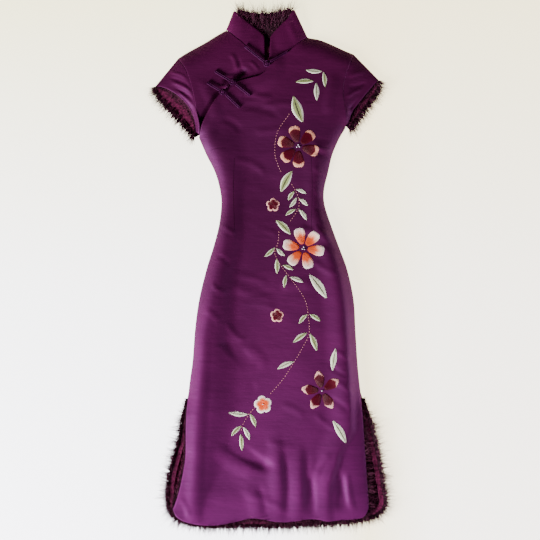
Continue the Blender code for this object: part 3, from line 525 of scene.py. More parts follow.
SIDE_LINES = [
    smooth_edge(RIGHT_SIDE, RIGHT_SLIT),
    smooth_edge(LEFT_SIDE, LEFT_SLIT),
    smooth_line(RIGHT_SHOULDER + [Point(RIGHT_SLEEVE[0].front_x, RIGHT_SLEEVE[0].front_y)]),
    smooth_line(LEFT_SHOULDER + [Point(LEFT_SLEEVE[0].front_x, LEFT_SLEEVE[0].front_y)]),
]
ARMHOLE_LINES = (smooth_line(RIGHT_ARMHOLE), smooth_line(LEFT_ARMHOLE))
PLACKET_LINE = smooth_line(PLACKET)
HEM_LINE = smooth_line(FRONT_HEM, 6.0)
BACK_HEM_LINE = smooth_line(BACK_HEM, 6.0)
FRONT_RIGHT_EDGE = smooth_edge(LEFT_NECK, PLACKET, RIGHT_SIDE, RIGHT_SLIT)
FRONT_LEFT_EDGE = smooth_edge(LEFT_SHOULDER, LEFT_ARMHOLE, LEFT_SIDE, LEFT_SLIT)
BACK_RIGHT_EDGE = smooth_edge(RIGHT_ARMHOLE, RIGHT_SIDE, BACK_RIGHT_SLIT)
BACK_LEFT_EDGE = smooth_edge(LEFT_ARMHOLE, LEFT_SIDE, BACK_LEFT_SLIT[::-1])
BACK_TOP_LINE = np.vstack(
    [
        smooth_line(RIGHT_SHOULDER[:0:-1])[:-1],
        smooth_line(BACK_NECK)[1:-1],
        smooth_line(LEFT_SHOULDER)[1:],
    ]
)


def crown_at(y):
    """Height of the underside along the middle of the body."""
    levels = np.array([row.y for row in CROWN], float)
    heights = np.array([row.height for row in CROWN])
    index = np.clip(np.searchsorted(levels, y) - 1, 0, len(CROWN) - 2)
    t = ease((y - levels[index]) / (levels[index + 1] - levels[index]))
    return blend(heights[index], heights[index + 1], t)


def edge_height(y):
    """Height of the front panel's underside at its side edges."""
    opened = ease((SLIT_TOP + 12 - y) / (SLIT_TOP - SLIT_OPEN + 12))
    return blend(SEAM_HEIGHT, FREE_EDGE_HEIGHT, opened)


def fold_height(x, y):
    """What the large folds add at a point."""
    total = crease_height(x, y, SINGLE_FOLDS)
    for chain in FOLDS:
        nearest = np.full(np.shape(x), np.inf)
        width = np.ones(np.shape(x))
        height = np.zeros(np.shape(x))
        for a, b in zip(chain, chain[1:]):
            dx, dy = b.x - a.x, b.y - a.y
            t = np.clip(((x - a.x) * dx + (y - a.y) * dy) / (dx * dx + dy * dy), 0, 1)
            away = np.hypot(x - a.x - t * dx, y - a.y - t * dy)
            closer = away < nearest
            nearest = np.where(closer, away, nearest)
            side = np.where(x < a.x + t * dx, blend(a.near, b.near, t), blend(a.far, b.far, t))
            width = np.where(closer, side, width)
            height = np.where(closer, blend(a.height, b.height, t), height)
        total += height * 0.5 * (1 + np.cos(math.pi * np.minimum(nearest / width, 1)))
    return total


def crease_height(x, y, creases):
    """What the small creases add at a point. Each fades towards its two ends."""
    total = np.zeros(np.shape(x))
    for crease in creases:
        dx, dy = crease.x1 - crease.x0, crease.y1 - crease.y0
        size = math.hypot(dx, dy)
        t = ((x - crease.x0) * dx + (y - crease.y0) * dy) / size**2
        off = ((y - crease.y0) * dx - (x - crease.x0) * dy) / size
        inside = np.clip(t, 0, 1)
        away = np.hypot(off - crease.bow * 4 * inside * (1 - inside), (t - inside) * size)
        near = np.minimum(away / crease.width, 1)
        fade = ease(inside * 4) * ease((1 - inside) * 4)
        total += crease.height * fade * 0.5 * (1 + np.cos(math.pi * near))
    return total


def rounding(x, y):
    """How far the crown has risen at a point, from 0 at the sides to 1."""
    near = np.full(np.shape(x), np.inf)
    for line in SIDE_LINES:
        near = np.minimum(near, distance(x, y, line))
    return 1 - (1 - np.minimum(1.0, near / SIDE_ROUNDING)) ** SIDE_POWER


def under(x, y):
    """Height of the underside of the upper layer, apart from the lap's raise."""
    depth = bpy.context.scene.qipao_cloth.crease_depth
    detail = fold_height(x, y) + depth * crease_height(x, y, CREASES)
    lowest = blend(FOLD_FLOOR, FREE_EDGE_HEIGHT, ease((HEM_FLOOR_START - y) / HEM_FLOOR_FADE))
    lift = crown_at(y) + detail - lowest
    sunk = FLOOR_SOFTNESS * np.exp(np.minimum(lift / FLOOR_SOFTNESS - 1, 0))
    soft = np.where(lift > FLOOR_SOFTNESS, lift, sunk)
    return blend(edge_height(y), lowest + soft, rounding(x, y))


def front_under(x, y):
    """Height of the front panel's underside, raised where it closes over the lap."""
    away = distance(x, y, PLACKET_LINE)
    return under(x, y) + LAP_RAISE * (1 - ease((away - LAP_FULL) / (LAP_FADE - LAP_FULL)))


def in_front_panel(x, y):
    """Whether a point lies on the front panel's side of the placket."""
    return np.where(y > PLACKET_LINE[0, 1], x > PLACKET_LINE[0, 0], x > side_at(PLACKET_LINE, y))


def outside(x, y):
    """Height of the outer face of whichever upper piece lies at a point."""
    x, y = np.asarray(x, float), np.asarray(y, float)
    return np.where(in_front_panel(x, y), front_under(x, y), under(x, y)) + SATIN


def roll(inset):
    """How far the satin has turned down at a distance inside its edge."""
    t = 1 - np.clip(inset / ROLL, 0, 1)
    return ROLL_DROP * (1 - np.sqrt(1 - np.minimum(t, 0.995) ** 2))


# Meshes


def even_steps(marks, spacing):
    """Values from the first mark to the last that meet each mark."""
    values = [float(marks[0])]
    for start, end in zip(marks, marks[1:]):
        count = max(1, math.ceil(abs(end - start) / spacing))
        values += [blend(start, end, number / count) for number in range(1, count + 1)]
    return np.array(values)


def side_shares(count):
    """Shares of the way across, closer together towards both sides."""
    t = np.linspace(0, 1, count)
    return 0.45 * t + 0.55 * (0.5 - 0.5 * np.cos(math.pi * t))


def edged(count):
    """Shares across a panel with the insets of its two edges, in millimetres."""
    insets = np.array(EDGE_INSETS)
    middle = side_shares(count)[1:-1]
    shares = np.concatenate([np.zeros(len(insets)), middle, np.ones(len(insets))])
    steps = np.concatenate([insets, np.full(len(middle), insets[-1]), insets[::-1]])
    return shares, steps


def across_panel(left, right, shares, steps):
    """Places across a panel between its two edges, with its insets kept where it is wide enough."""
    steps = np.minimum(steps, (right - left) * 0.1)
    return blend(left + steps, right - steps, shares)


def add_object(name, mesh, material):
    mesh.materials.append(material)
    made = bpy.data.objects.new(name, mesh)
    bpy.context.scene.collection.objects.link(made)
    return made


def new_mesh(name, bm):
    """A smooth mesh with what has been built."""
    mesh = bpy.data.meshes.new(name)
    bm.to_mesh(mesh)
    bm.free()
    mesh.shade_smooth()
    return mesh


def grid_mesh(name, points, flip=False):
    """A grid mesh with the given points in millimetres, as rows of columns."""
    rows, columns = points.shape[:2]
    bm = bmesh.new()
    bm.loops.layers.uv.new("UVMap")
    bmesh.ops.create_grid(bm, x_segments=columns - 1, y_segments=rows - 1, size=1.0, calc_uvs=True)
    if flip:
        bmesh.ops.reverse_faces(bm, faces=bm.faces[:])
    mesh = new_mesh(name, bm)
    place_points(mesh, points)
    return mesh


def place_points(mesh, points):
    """Moves a unit grid's vertices to the points of their row and column."""
    rows, columns = points.shape[:2]
    flat = np.zeros(len(mesh.vertices) * 3, np.float32)
    mesh.vertices.foreach_get("co", flat)
    flat = flat.reshape(-1, 3).astype(float)
    column = np.rint((flat[:, 0] + 1) / 2 * (columns - 1)).astype(int)
    row = np.rint((flat[:, 1] + 1) / 2 * (rows - 1)).astype(int)
    placed = (points[row, column] * MM).astype(np.float32)
    mesh.vertices.foreach_set("co", placed.ravel())
    mesh.update()
    return row, column


def add_wall(made, name, thickness, offset=-1.0):
    """A wall of a thickness in millimetres, on the inner side unless the offset says otherwise."""
    shell = made.modifiers.new(name, "SOLIDIFY")
    shell.thickness = thickness * MM
    shell.offset = offset


def satin_wall():
    """Thickness of the satin in millimetres."""
    return bpy.context.scene.qipao_cloth.satin_wall / MM


def make_satin(name, points, node, flip=False, offset=-1.0):
    """A sheet of satin with its wall, in its node's place."""
    made = add_object(name, grid_mesh(name, points, flip), satin_material())
    add_wall(made, "Cloth wall", satin_wall(), offset)
    return finish_piece(made, "satin", node)


def filled_pad(name, points, bottom, material):
    """A pad whose upper face is a grid of points and whose lower face is level."""
    mesh = grid_mesh(name, points)
    bm = bmesh.new()
    bm.from_mesh(mesh)
    extruded = bmesh.ops.extrude_face_region(bm, geom=bm.faces[:])
    lowered = [item for item in extruded["geom"] if isinstance(item, bmesh.types.BMVert)]
    for vertex in lowered:
        vertex.co.z = min(bottom * MM, vertex.co.z - 0.2 * MM)
    bmesh.ops.recalc_face_normals(bm, faces=bm.faces[:])
    bm.to_mesh(mesh)
    bm.free()
    mesh.shade_smooth()
    return add_object(name, mesh, material)


def finish_piece(made, slot, *nodes):
    """Ties a piece to the body and hides the nodes that it stands for. The slot is not used."""
    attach(made, BODY)
    if nodes:
        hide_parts(*nodes)
    return made


def stacked(x, y, z):
    """Points from arrays of their places."""
    x, y, z = np.broadcast_arrays(x, y, z)
    return np.stack([x, y, z], axis=-1).astype(float)


# Materials


def dye(name):
    """One of the dress's colours, as red, green and blue."""
    return tuple(getattr(bpy.context.scene.qipao_colours, name))


def start_material(name):
    made = bpy.data.materials.get(name)
    if made:
        return made, None, None
    made = bpy.data.materials.new(name)
    made.use_nodes = True
    tree = made.node_tree
    return made, tree, tree.nodes["Principled BSDF"]


def add_node(tree, kind, values=None, **options):
    """A node with its options set, and each input given a value or a link."""
    node = tree.nodes.new(kind)
    for option, value in options.items():
        setattr(node, option, value)
    for socket, value in (values or {}).items():
        if isinstance(value, bpy.types.NodeSocket):
            tree.links.new(value, node.inputs[socket])
        else:
            node.inputs[socket].default_value = value
    return node


def object_pattern(tree, scale, turn=0.0):
    """Object coordinates stretched and turned for a pattern."""
    place = add_node(tree, "ShaderNodeTexCoord")
    values = {0: place.outputs["Object"], 3: scale, 2: (0, 0, turn)}
    return add_node(tree, "ShaderNodeMapping", values).outputs[0]


def noise(tree, vector, scale, detail=2.0, rough=0.5):
    made = add_node(
        tree,
        "ShaderNodeTexNoise",
        {"Vector": vector, "Scale": scale, "Detail": detail, "Roughness": rough},
    )
    return made.outputs["Fac"]


def mottle(tree, scale, detail=2.0, rough=0.5):
    """Noise that is alike in every direction."""
    return noise(tree, object_pattern(tree, (1, 1, 1)), scale, detail, rough)


def ramp(tree, factor, stops):
    """A colour ramp through positions and colours."""
    made = add_node(tree, "ShaderNodeValToRGB", {0: factor})
    elements = made.color_ramp.elements
    while len(elements) < len(stops):
        elements.new(0.5)
    for element, (position, colour) in zip(elements, stops):
        element.position = position
        element.color = (*colour, 1)
    return made.outputs[0]


def maths(tree, operation, first, second=0.5):
    return add_node(tree, "ShaderNodeMath", {0: first, 1: second}, operation=operation).outputs[0]


def remap(tree, value, low, high, to_low=0.0, to_high=1.0):
    """A value moved from one range to another."""
    values = {0: value, 1: low, 2: high, 3: to_low, 4: to_high}
    return add_node(tree, "ShaderNodeMapRange", values).outputs[0]


def scaled(tree, colour, factor):
    values = {0: colour, "Scale": factor}
    return add_node(tree, "ShaderNodeVectorMath", values, operation="SCALE").outputs[0]


def colour_mix(tree, share, first, second):
    """A linked colour that turns into a plain second one by a share."""
    values = {0: share, 6: first, 7: (*second, 1)}
    return add_node(tree, "ShaderNodeMix", values, data_type="RGBA").outputs[2]


def centred(tree, value, amount):
    """A pattern around zero instead of a half, times an amount."""
    return maths(tree, "MULTIPLY", maths(tree, "SUBTRACT", value, 0.5), amount)


def threads_at(tree, place, scale, amount):
    """Unevenness that is stretched along threads."""
    strands = add_node(tree, "ShaderNodeMapping", {0: place, 3: scale}).outputs[0]
    return centred(tree, noise(tree, strands, 1.0, 1.0), amount)


def surface_place(tree):
    """A piece's own place on its surface, and its parts across (X) and along (Y)."""
    place = add_node(tree, "ShaderNodeUVMap", uv_map="UVMap").outputs[0]
    return place, add_node(tree, "ShaderNodeSeparateXYZ", {0: place}).outputs


def bump(tree, height, distance_mm, strength=1.0, below=None):
    values = {"Height": height, "Distance": distance_mm * MM, "Strength": strength}
    if below is not None:
        values["Normal"] = below
    return add_node(tree, "ShaderNodeBump", values).outputs[0]


def pile_bump(tree, tufts, patches):
    """The relief of plush or fur: fine tufts over broader patches."""
    return bump(tree, tufts, 0.9, 0.8, bump(tree, patches, 1.6, 0.6))


def set_shader(tree, shader, **values):
    for name, value in values.items():
        socket = shader.inputs[name.replace("_", " ")]
        if isinstance(value, bpy.types.NodeSocket):
            tree.links.new(value, socket)
        else:
            socket.default_value = value


def shade(colour, factor):
    return tuple(min(1.0, channel * factor) for channel in colour)


def satin_material():
    """Duchess satin: a close weave with a soft violet gloss and crosswise slubs, with painted light
    and shade up its height.
    """
    made, tree, shader = start_material("plum_satin")
    if tree is None:
        return made
    plum = dye("satin")
    slubs = noise(tree, object_pattern(tree, (14, 420, 14)), 1.0, 3.0)
    broad = noise(tree, object_pattern(tree, (9, 16, 9)), 1.0, 3.0)
    crumple = noise(tree, object_pattern(tree, (15, 38, 15)), 1.0, 3.0, 0.55)
    fine, coarse = maths(tree, "MULTIPLY", slubs, 0.35), maths(tree, "MULTIPLY", broad, 0.65)
    mixed = maths(tree, "ADD", fine, coarse)
    place = add_node(tree, "ShaderNodeTexCoord").outputs["Object"]
    upward = add_node(tree, "ShaderNodeSeparateXYZ", {0: place}).outputs["Y"]
    # Painted light and shade up the dress: lighter and more violet towards the hem, darker across the
    # waist and chest, darker and redder at the shoulders, a little lighter again at the collar.
    share = remap(tree, upward, -0.55, 0.57)
    top = (plum[0] * 0.92, plum[1] * 0.6, plum[2] * 0.74)
    hem = (plum[0] * 1.32, plum[1] * 2.4, plum[2] * 1.60)
    painted_waist_shade = (plum[0] * 0.70, plum[1] * 0.5, plum[2] * 0.62)
    stops = [(0.0, hem), (0.34, plum), (0.58, painted_waist_shade), (0.76, painted_waist_shade), (0.90, top)]
    stops.append((0.97, shade(top, 1.3)))
    colour = scaled(tree, ramp(tree, share, stops), remap(tree, mixed, 0.3, 0.7, 0.82, 1.24))
    across = add_node(
        tree,
        "ShaderNodeTexWave",
        {"Vector": object_pattern(tree, (1, 1, 1), math.radians(38)), "Scale": 560, "Distortion": 0.6},
    ).outputs["Fac"]
    thread = bump(tree, across, 0.05, 0.35)
    raised = bump(tree, slubs, 0.16, 0.5, bump(tree, crumple, 2.2, 0.6, thread))
    rough = remap(tree, mixed, 0.3, 0.7, 0.56, 0.64)
    set_shader(tree, shader, Base_Color=colour, Roughness=rough, Normal=raised)
    set_shader(tree, shader, Specular_IOR_Level=0.36, Specular_Tint=(1.0, 0.30, 1.0, 1))
    return made


def plush_material():
    """Wine plush with a short mottled pile."""
    made, tree, shader = start_material("wine_plush")
    if tree is None:
        return made
    wine = dye("plush")
    patches = mottle(tree, 150, 4.0, 0.65)
    tufts = mottle(tree, 620, 2.0, 0.6)
    colour = ramp(tree, patches, [(0.32, shade(wine, 0.45)), (0.52, wine), (0.72, shade(wine, 1.7))])
    raised = pile_bump(tree, tufts, patches)
    set_shader(tree, shader, Base_Color=colour, Roughness=0.85, Normal=raised)
    set_shader(tree, shader, Sheen_Weight=0.1, Sheen_Roughness=0.5, Sheen_Tint=(0.8, 0.3, 0.4, 1))
    set_shader(tree, shader, Specular_IOR_Level=0.15)
    return made


def fur_ground_material():
    """The dense dark underfur that the hairs grow from."""
    made, tree, shader = start_material("fur_ground")
    if tree is None:
        return made
    fur = dye("fur")
    tufts = mottle(tree, 300, 3.0, 0.6)
    stops = [(0.3, shade(fur, 0.35)), (0.55, shade(fur, 0.8)), (0.8, shade(fur, 1.6))]
    colour = ramp(tree, tufts, stops)
    set_shader(tree, shader, Base_Color=colour, Roughness=0.95, Normal=bump(tree, tufts, 1.4, 0.9))
    set_shader(tree, shader, Specular_IOR_Level=0.2)
    return made


def edging_ground_material(name, axis, stops):
    """Wine plush and dark underfur in bands across an edging. Stops give 0 for fur and 1 for plush."""
    made, tree, shader = start_material(name)
    if tree is None:
        return made
    fur, wine = np.array(dye("fur")), np.array(dye("plush"))
    across = surface_place(tree)[1][axis]
    patches = mottle(tree, 110, 4.0, 0.65)
    tufts = mottle(tree, 240, 3.0, 0.6)
    uneven = centred(tree, patches, 0.3)
    bands = [(position, shade(blend(fur, wine, share), 1.0)) for position, share in stops]
    banded = ramp(tree, maths(tree, "ADD", across, uneven), bands)
    mixed = scaled(tree, banded, remap(tree, tufts, 0.3, 0.7, 0.2, 2.1))
    raised = pile_bump(tree, tufts, patches)
    set_shader(tree, shader, Base_Color=mixed, Roughness=0.95, Normal=raised, Specular_IOR_Level=0.15)
    return made


def hair_material(name, colour, root_factor, tip_factor):
    """Hairs that lighten from root to tip, each of its own tone."""
    made, tree, shader = start_material(name)
    if tree is None:
        return made
    along = add_node(tree, "ShaderNodeAttribute", attribute_name="along").outputs["Fac"]
    tone = add_node(tree, "ShaderNodeAttribute", attribute_name="tone").outputs["Fac"]
    length, own = maths(tree, "MULTIPLY", along, 0.55), maths(tree, "MULTIPLY", tone, 0.45)
    mixed = maths(tree, "ADD", length, own)
    stops = [(0.15, shade(colour, root_factor)), (0.5, colour), (0.95, shade(colour, tip_factor))]
    set_shader(tree, shader, Base_Color=ramp(tree, mixed, stops), Roughness=0.6)
    set_shader(tree, shader, Specular_IOR_Level=0.2, Specular_Tint=(1.0, 0.6, 0.75, 1))
    return made


def cord_material():
    """Satin rouleau cord in a bias-cut cover, with a fine grain in its tone and relief."""
    made, tree, shader = start_material("cord_satin")
    if tree is None:
        return made
    cord = dye("cord")
    grain = mottle(tree, 380)
    colour = ramp(tree, grain, [(0.3, shade(cord, 0.7)), (0.7, shade(cord, 1.4))])
    set_shader(tree, shader, Base_Color=colour, Roughness=0.55, Normal=bump(tree, grain, 0.1, 0.4))
    set_shader(tree, shader, Specular_IOR_Level=0.16, Specular_Tint=(1.0, 0.3, 0.9, 1))
    return made


def stitch_surface(tree, shader, lines, frequency):
    """The sheen and the raised lines of satin stitch."""
    threads = maths(tree, "SINE", maths(tree, "MULTIPLY", lines, frequency), 0.0)
    set_shader(tree, shader, Normal=bump(tree, threads, 0.12, 0.7), Roughness=0.5)
    set_shader(tree, shader, Specular_IOR_Level=0.13)
    return threads


def petal_material(name, inner, middle, tip, edge, soft, ragged):
    """Long and short stitch: the inner colour meets the tip's in uneven threads."""
    made, tree, shader = start_material(name)
    if tree is None:
        return made
    place, parts = surface_place(tree)
    threads = stitch_surface(tree, shader, parts["X"], 150)
    uneven = threads_at(tree, place, (38, 2.5, 1), ragged)
    beside = maths(tree, "POWER", maths(tree, "SUBTRACT", parts["X"], 0.5), 2.0)
    arched = maths(tree, "ADD", parts["Y"], maths(tree, "MULTIPLY", beside, 0.6))
    share = maths(tree, "ADD", arched, uneven)
    stops = [
        (edge - 0.30, shade(inner, 0.7)),
        (edge - 0.02, inner),
        (edge + 0.02, middle),
        (edge + soft, tip),
        (0.98, shade(tip, 1.12)),
    ]
    between = remap(tree, threads, -1.0, 1.0, 0.0, 0.22)
    colour = colour_mix(tree, between, ramp(tree, share, stops), shade(inner, 0.6))
    set_shader(tree, shader, Base_Color=colour)
    return made


def leaf_material(name, body, edge, vein):
    """Satin stitch slanting out from a darker vein to a pale edge."""
    made, tree, shader = start_material(name)
    if tree is None:
        return made
    place, parts = surface_place(tree)
    out = maths(tree, "ABSOLUTE", maths(tree, "SUBTRACT", parts["X"], 0.5))
    slant = maths(tree, "SUBTRACT", parts["Y"], maths(tree, "MULTIPLY", out, 0.5))
    threads = stitch_surface(tree, shader, slant, 170)
    share = maths(tree, "ADD", out, threads_at(tree, place, (3, 40, 1), 0.14))
    stops = [(0.0, vein), (0.045, vein), (0.09, body), (0.27, body), (0.34, edge)]
    between = remap(tree, threads, -1.0, 1.0, 0.0, 0.25)
    colour = colour_mix(tree, between, ramp(tree, share, stops), shade(body, 0.55))
    set_shader(tree, shader, Base_Color=colour)
    return made


def lobed_material(name, inner, middle, outer):
    """A small flower worked outwards from its centre."""
    made, tree, shader = start_material(name)
    if tree is None:
        return made
    place, parts = surface_place(tree)
    stitch_surface(tree, shader, parts["X"], 420)
    share = maths(tree, "ADD", parts["Y"], threads_at(tree, place, (90, 2, 1), 0.2))
    colour = ramp(tree, share, [(0.0, inner), (0.5, inner), (0.66, middle), (0.82, outer)])
    set_shader(tree, shader, Base_Color=colour)
    return made


def plain_material(name, colour, rough, specular=0.5):
    made, tree, shader = start_material(name)
    if tree is None:
        return made
    grain = mottle(tree, 900)
    tones = ramp(tree, grain, [(0.3, shade(colour, 0.85)), (0.7, shade(colour, 1.1))])
    set_shader(tree, shader, Base_Color=tones, Roughness=rough, Specular_IOR_Level=specular)
    return made


# Panels


def hem_shift(x, y, line, level):
    """How far a row near the hem is moved so that the last row follows the hem."""
    moved = (height_at(line, x) - level) * (HEM_BEND - y) / (HEM_BEND - level)
    return np.where(y < HEM_BEND, moved, 0.0)


def hem_rows(level, top_marks, spacing):
    """Rows from a hem upwards, with its rolled edge's rows first."""
    edge = [level + inset for inset in EDGE_INSETS]
    return np.concatenate([edge[:-1], even_steps([edge[-1]] + top_marks, spacing)])


def make_front_panel():
    level = FRONT_HEM[0].y
    rows = hem_rows(level, FRONT_LEVELS, FRONT_SPACING)[:, None]
    shares, steps = edged(FRONT_COLUMNS)
    left, right = side_at(FRONT_RIGHT_EDGE, rows), side_at(FRONT_LEFT_EDGE, rows)
    x = across_panel(left, right, shares, steps)
    y = np.broadcast_to(rows, x.shape)
    above_hem = y - level
    y = y + hem_shift(x, y, HEM_LINE, level)
    drop = roll(np.minimum(x - left, right - x)) + roll(above_hem)
    points = stacked(x, y, front_under(x, y) + SATIN - np.minimum(drop, ROLL_DROP))
    made = make_satin("front_satin", points, "front_panel")


def make_under_lap():
    left_edge = smooth_edge(RIGHT_SHOULDER, RIGHT_ARMHOLE)
    inner_edge = smooth_edge(RIGHT_NECK, LAP_INNER_EDGE)
    rows = even_steps(LAP_LEVELS, LAP_SPACING)[:, None]
    shares, steps = edged(LAP_COLUMNS)
    left, right = side_at(left_edge, rows), side_at(inner_edge, rows)
    x = across_panel(left, right, shares, steps)
    y = np.broadcast_to(rows, x.shape)
    drop = 0.4 * roll(x - left)
    points = stacked(x, y, under(x, y) + SATIN - drop + crease_height(x, y, LAP_CREASES))
    made = make_satin("lap_satin", points, "under_lap")


def make_back_panel():
    level = BACK_HEM[0].y
    marks = [HEM_BEND, SLIT_TOP, UNDERARM, BACK_TOP_START, BACK_TOP]
    rows = hem_rows(level, marks, BACK_SPACING)[:, None]
    shares, steps = edged(BACK_COLUMNS)
    left, right = side_at(BACK_RIGHT_EDGE, rows), side_at(BACK_LEFT_EDGE, rows)
    x = across_panel(left, right, shares, steps)
    y = np.broadcast_to(rows, x.shape)
    above_hem = y - level
    rising = ease((y - BACK_TOP_START) / (BACK_TOP - BACK_TOP_START))
    lift = (height_at(BACK_TOP_LINE, x) - BACK_TOP) * rising
    y = y + hem_shift(x, y, BACK_HEM_LINE, level) + lift
    edge = roll(np.minimum(x - left, right - x)) + roll(above_hem)
    creases = np.clip(crease_height(x, y, BACK_CREASES), 0, SATIN - satin_wall())
    height = creases + 0.5 * np.minimum(edge, ROLL_DROP)
    made = make_satin("back_satin", stacked(x, y, height), "back_panel", flip=True)


def skirt_share(y):
    """0 above the slits and 1 below their tops."""
    return ease((SLIT_TOP + 20 - y) / 30)


def make_back_plush():
    """The lining of the back, inside the seams and inside the fur edging."""
    level = BACK_HEM[0].y + 2
    marks = [level, HEM_BEND, -290.0, -250.0, UNDERARM, PLUSH_TOP_START, PLUSH_TOP]
    rows = even_steps(marks, BACK_PLUSH_SPACING)[:, None]
    skirt = skirt_share(rows)
    inset = blend(LINING_INSET, TRIM_INSIDE + 1, skirt)
    left = side_at(BACK_RIGHT_EDGE, rows) + inset
    right = side_at(BACK_LEFT_EDGE, rows) - inset
    x = blend(left, right, side_shares(BACK_PLUSH_COLUMNS))
    y = np.broadcast_to(rows, x.shape)
    rising = ease((y - PLUSH_TOP_START) / (PLUSH_TOP - PLUSH_TOP_START))
    lift = (height_at(BACK_TOP_LINE, x) - 14 - PLUSH_TOP) * rising
    capped = np.minimum(lift, 40)
    rise = (TRIM_INSIDE - 2) * ease((HEM_BEND - y) / 84)
    y = y + hem_shift(x, y, BACK_HEM_LINE, BACK_HEM[0].y) + capped + rise
    waves = 0.35 * np.sin(x / 7.0) * np.sin(y / 9.0 + x / 23.0)
    near = np.minimum(np.minimum(x - left, right - x), 6) / 6
    points = stacked(x, y, LINING_TOP - 0.5 + waves - 1.2 * (1 - near) ** 2)
    made = filled_pad("back_plush", points, LINING_BOTTOM, plush_material())
    finish_piece(made, "plush", "back_lining")


def make_front_plush():
    """The plush behind the front panel, which holds up its form."""
    right_edge = smooth_edge(RIGHT_SHOULDER, RIGHT_ARMHOLE, RIGHT_SIDE, RIGHT_SLIT)
    rows = even_steps(FRONT_PLUSH_LEVELS, FRONT_PLUSH_SPACING)[:, None]
    skirt = skirt_share(rows)
    shoulder = ease((rows - 415) / 40)
    inset = LINING_INSET + skirt * (FRONT_LINING_INSET + 1 - LINING_INSET) + 14 * shoulder
    left = side_at(right_edge, rows) + inset
    right = side_at(FRONT_LEFT_EDGE, rows) - inset
    x = blend(left, right, side_shares(FRONT_PLUSH_COLUMNS))
    y = np.broadcast_to(rows, x.shape)
    y = y + hem_shift(x, y, HEM_LINE, FRONT_HEM[0].y)
    around = [(dx, dy) for dx in (-16, 0, 16) for dy in (-16, 0, 16)]
    trough = np.min([fold_height(x + dx, y + dy) for dx, dy in around], axis=0)
    trough += crease_height(x, y, LAP_CREASES)
    height = blend(edge_height(y), crown_at(y) + trough, rounding(x, y)) - PLUSH_GAP - 1.0
    points = stacked(x, y, np.maximum(height, FRONT_LINING_BOTTOM + 0.5))
    made = filled_pad("front_plush", points, FRONT_LINING_BOTTOM, plush_material())
    finish_piece(made, "plush", "front_lining")


# Sleeves and collar


def sleeve_lines(rows, share, side):
    """Places on a sleeve's seam, front hem and back hem, from the fold to the underarm."""
    table = curve_at(rows, share)
    seam_y = table[..., 0]
    seam_x = side_at(ARMHOLE_LINES[side > 0], seam_y) - side * SEAM_OVERLAP
    return stacked(seam_x, seam_y, 0)[..., :2], table[..., 1:3], table[..., 3:5]


def sleeve_front_height(x, y, share, out):
    """Underside of a sleeve's front. Out runs from 0 at the armhole to 1 at the hem."""
    cuff = CUFF_FOLD_HEIGHT + CUFF_CROWN * np.sin(math.pi * share)
    return blend(under(x, y), cuff, ease(out))


def make_sleeve(name, rows, side, node):
    """Front wall, rounded fold and back wall as one sheet. Side is -1 or 1 along X."""
    middle = SLEEVE_SATIN / 2
    front = np.linspace(1, 0.06, 44)
    angles = np.linspace(90, -90, 11)
    back = np.linspace(0.06, 1, 30)
    kinds = ["front"] * len(front) + ["fold"] * len(angles) + ["back"] * len(back)
    out = np.concatenate([np.linspace(0, 0.97, 26), [0.985, 0.995, 1.0]])
    seam, hem, _ = sleeve_lines(rows, np.array([0.0]), side)
    fold = (hem - seam)[0]
    inward = np.array([fold[1], -fold[0]]) / np.linalg.norm(fold) * side
    columns = []
    for kind, value in zip(kinds, np.concatenate([front, angles, back])):
        share = 0.0 if kind == "fold" else float(value)
        seam, front_hem, back_hem = sleeve_lines(rows, np.array([share]), side)
        hem = back_hem if kind == "back" else front_hem
        place = blend(seam, hem, out[:, None])
        x, y = place[:, 0], place[:, 1]
        turned = roll((1 - out) * np.linalg.norm(hem - seam))
        if kind == "front":
            gather = crease_height(x, y, SLEEVE_CREASES) * ease(out * 4) * ease((1 - out) * 5)
            z = sleeve_front_height(x, y, share, out) + middle + gather - 0.6 * turned
        elif kind == "back":
            z = np.full(len(out), middle) + 0.3 * turned
        else:
            radius = blend(1.8, 3.6, out)
            near_x, near_y = x + inward[0] * radius, y + inward[1] * radius
            top = sleeve_front_height(near_x, near_y, 0, out) + middle
            turn = math.radians(value)
            inset = radius * (1 - math.cos(turn))
            z = (top + middle) / 2 + (top - middle) / 2 * math.sin(turn)
            x, y = x + inward[0] * inset, y + inward[1] * inset
        columns.append(stacked(x, y, z))
    points = np.stack(columns, axis=1)
    made = make_satin(name, points, node, flip=side < 0, offset=0.0)


def cuff_outward(share, side):
    """Steps out from a sleeve's hem, which turn from sideways to downwards along it."""
    slant = blend(0.9, 0.35, share)
    return np.stack([side * slant, -np.sqrt(1 - slant**2)], axis=1)


def make_sleeve_plush(name, rows, side, node):
    """Plush inside a sleeve and the pad of fur past its hem."""
    shares = np.linspace(0.05, 0.94, 34)
    zones = [("seam", t) for t in np.linspace(0, 0.94, 8)]
    zones += [("gap", t) for t in np.linspace(0.2, 1, 6)]
    zones += [("tips", t) for t in (0.35, 0.7, 1.0)]
    seam, front, back = sleeve_lines(rows, shares, side)
    size = np.linalg.norm(front - seam, axis=1)
    lines = []
    for zone, t in zones:
        if zone == "seam":
            out = blend(2.0 / size, 1, t)
            place = blend(seam, front, out[:, None])
            z = sleeve_front_height(place[:, 0], place[:, 1], shares, out) - PLUSH_GAP - 0.4
        elif zone == "gap":
            place = blend(front, back, t)
            z = np.full(len(shares), blend(CUFF_FOLD_HEIGHT - 1.2, 5.0, t))
        else:
            place = back + cuff_outward(shares, side) * SLEEVE_FUR_REACH * 0.3 * t
            z = np.full(len(shares), blend(4.8, 3.4, t))
        lines.append(stacked(place[:, 0], place[:, 1], z))
    points = np.stack(lines, axis=0)
    if side > 0:
        points = points[:, ::-1]
    # Bands across the cuff from the seam out: dark fur under the front hem, whose dark runs on past
    # the hem as a painted shade strip, then wine plush across the gap, then dark fur past the back
    # hem.
    bands = [(0.0, 0.0), (0.5, 0.0), (0.6, 1.0), (0.78, 1.0), (0.86, 0.1)]
    material = edging_ground_material("cuff_ground", "Y", bands)
    made = filled_pad(name, points, SLEEVE_SATIN + LAYER_GAP, material)
    finish_piece(made, "fur", node)


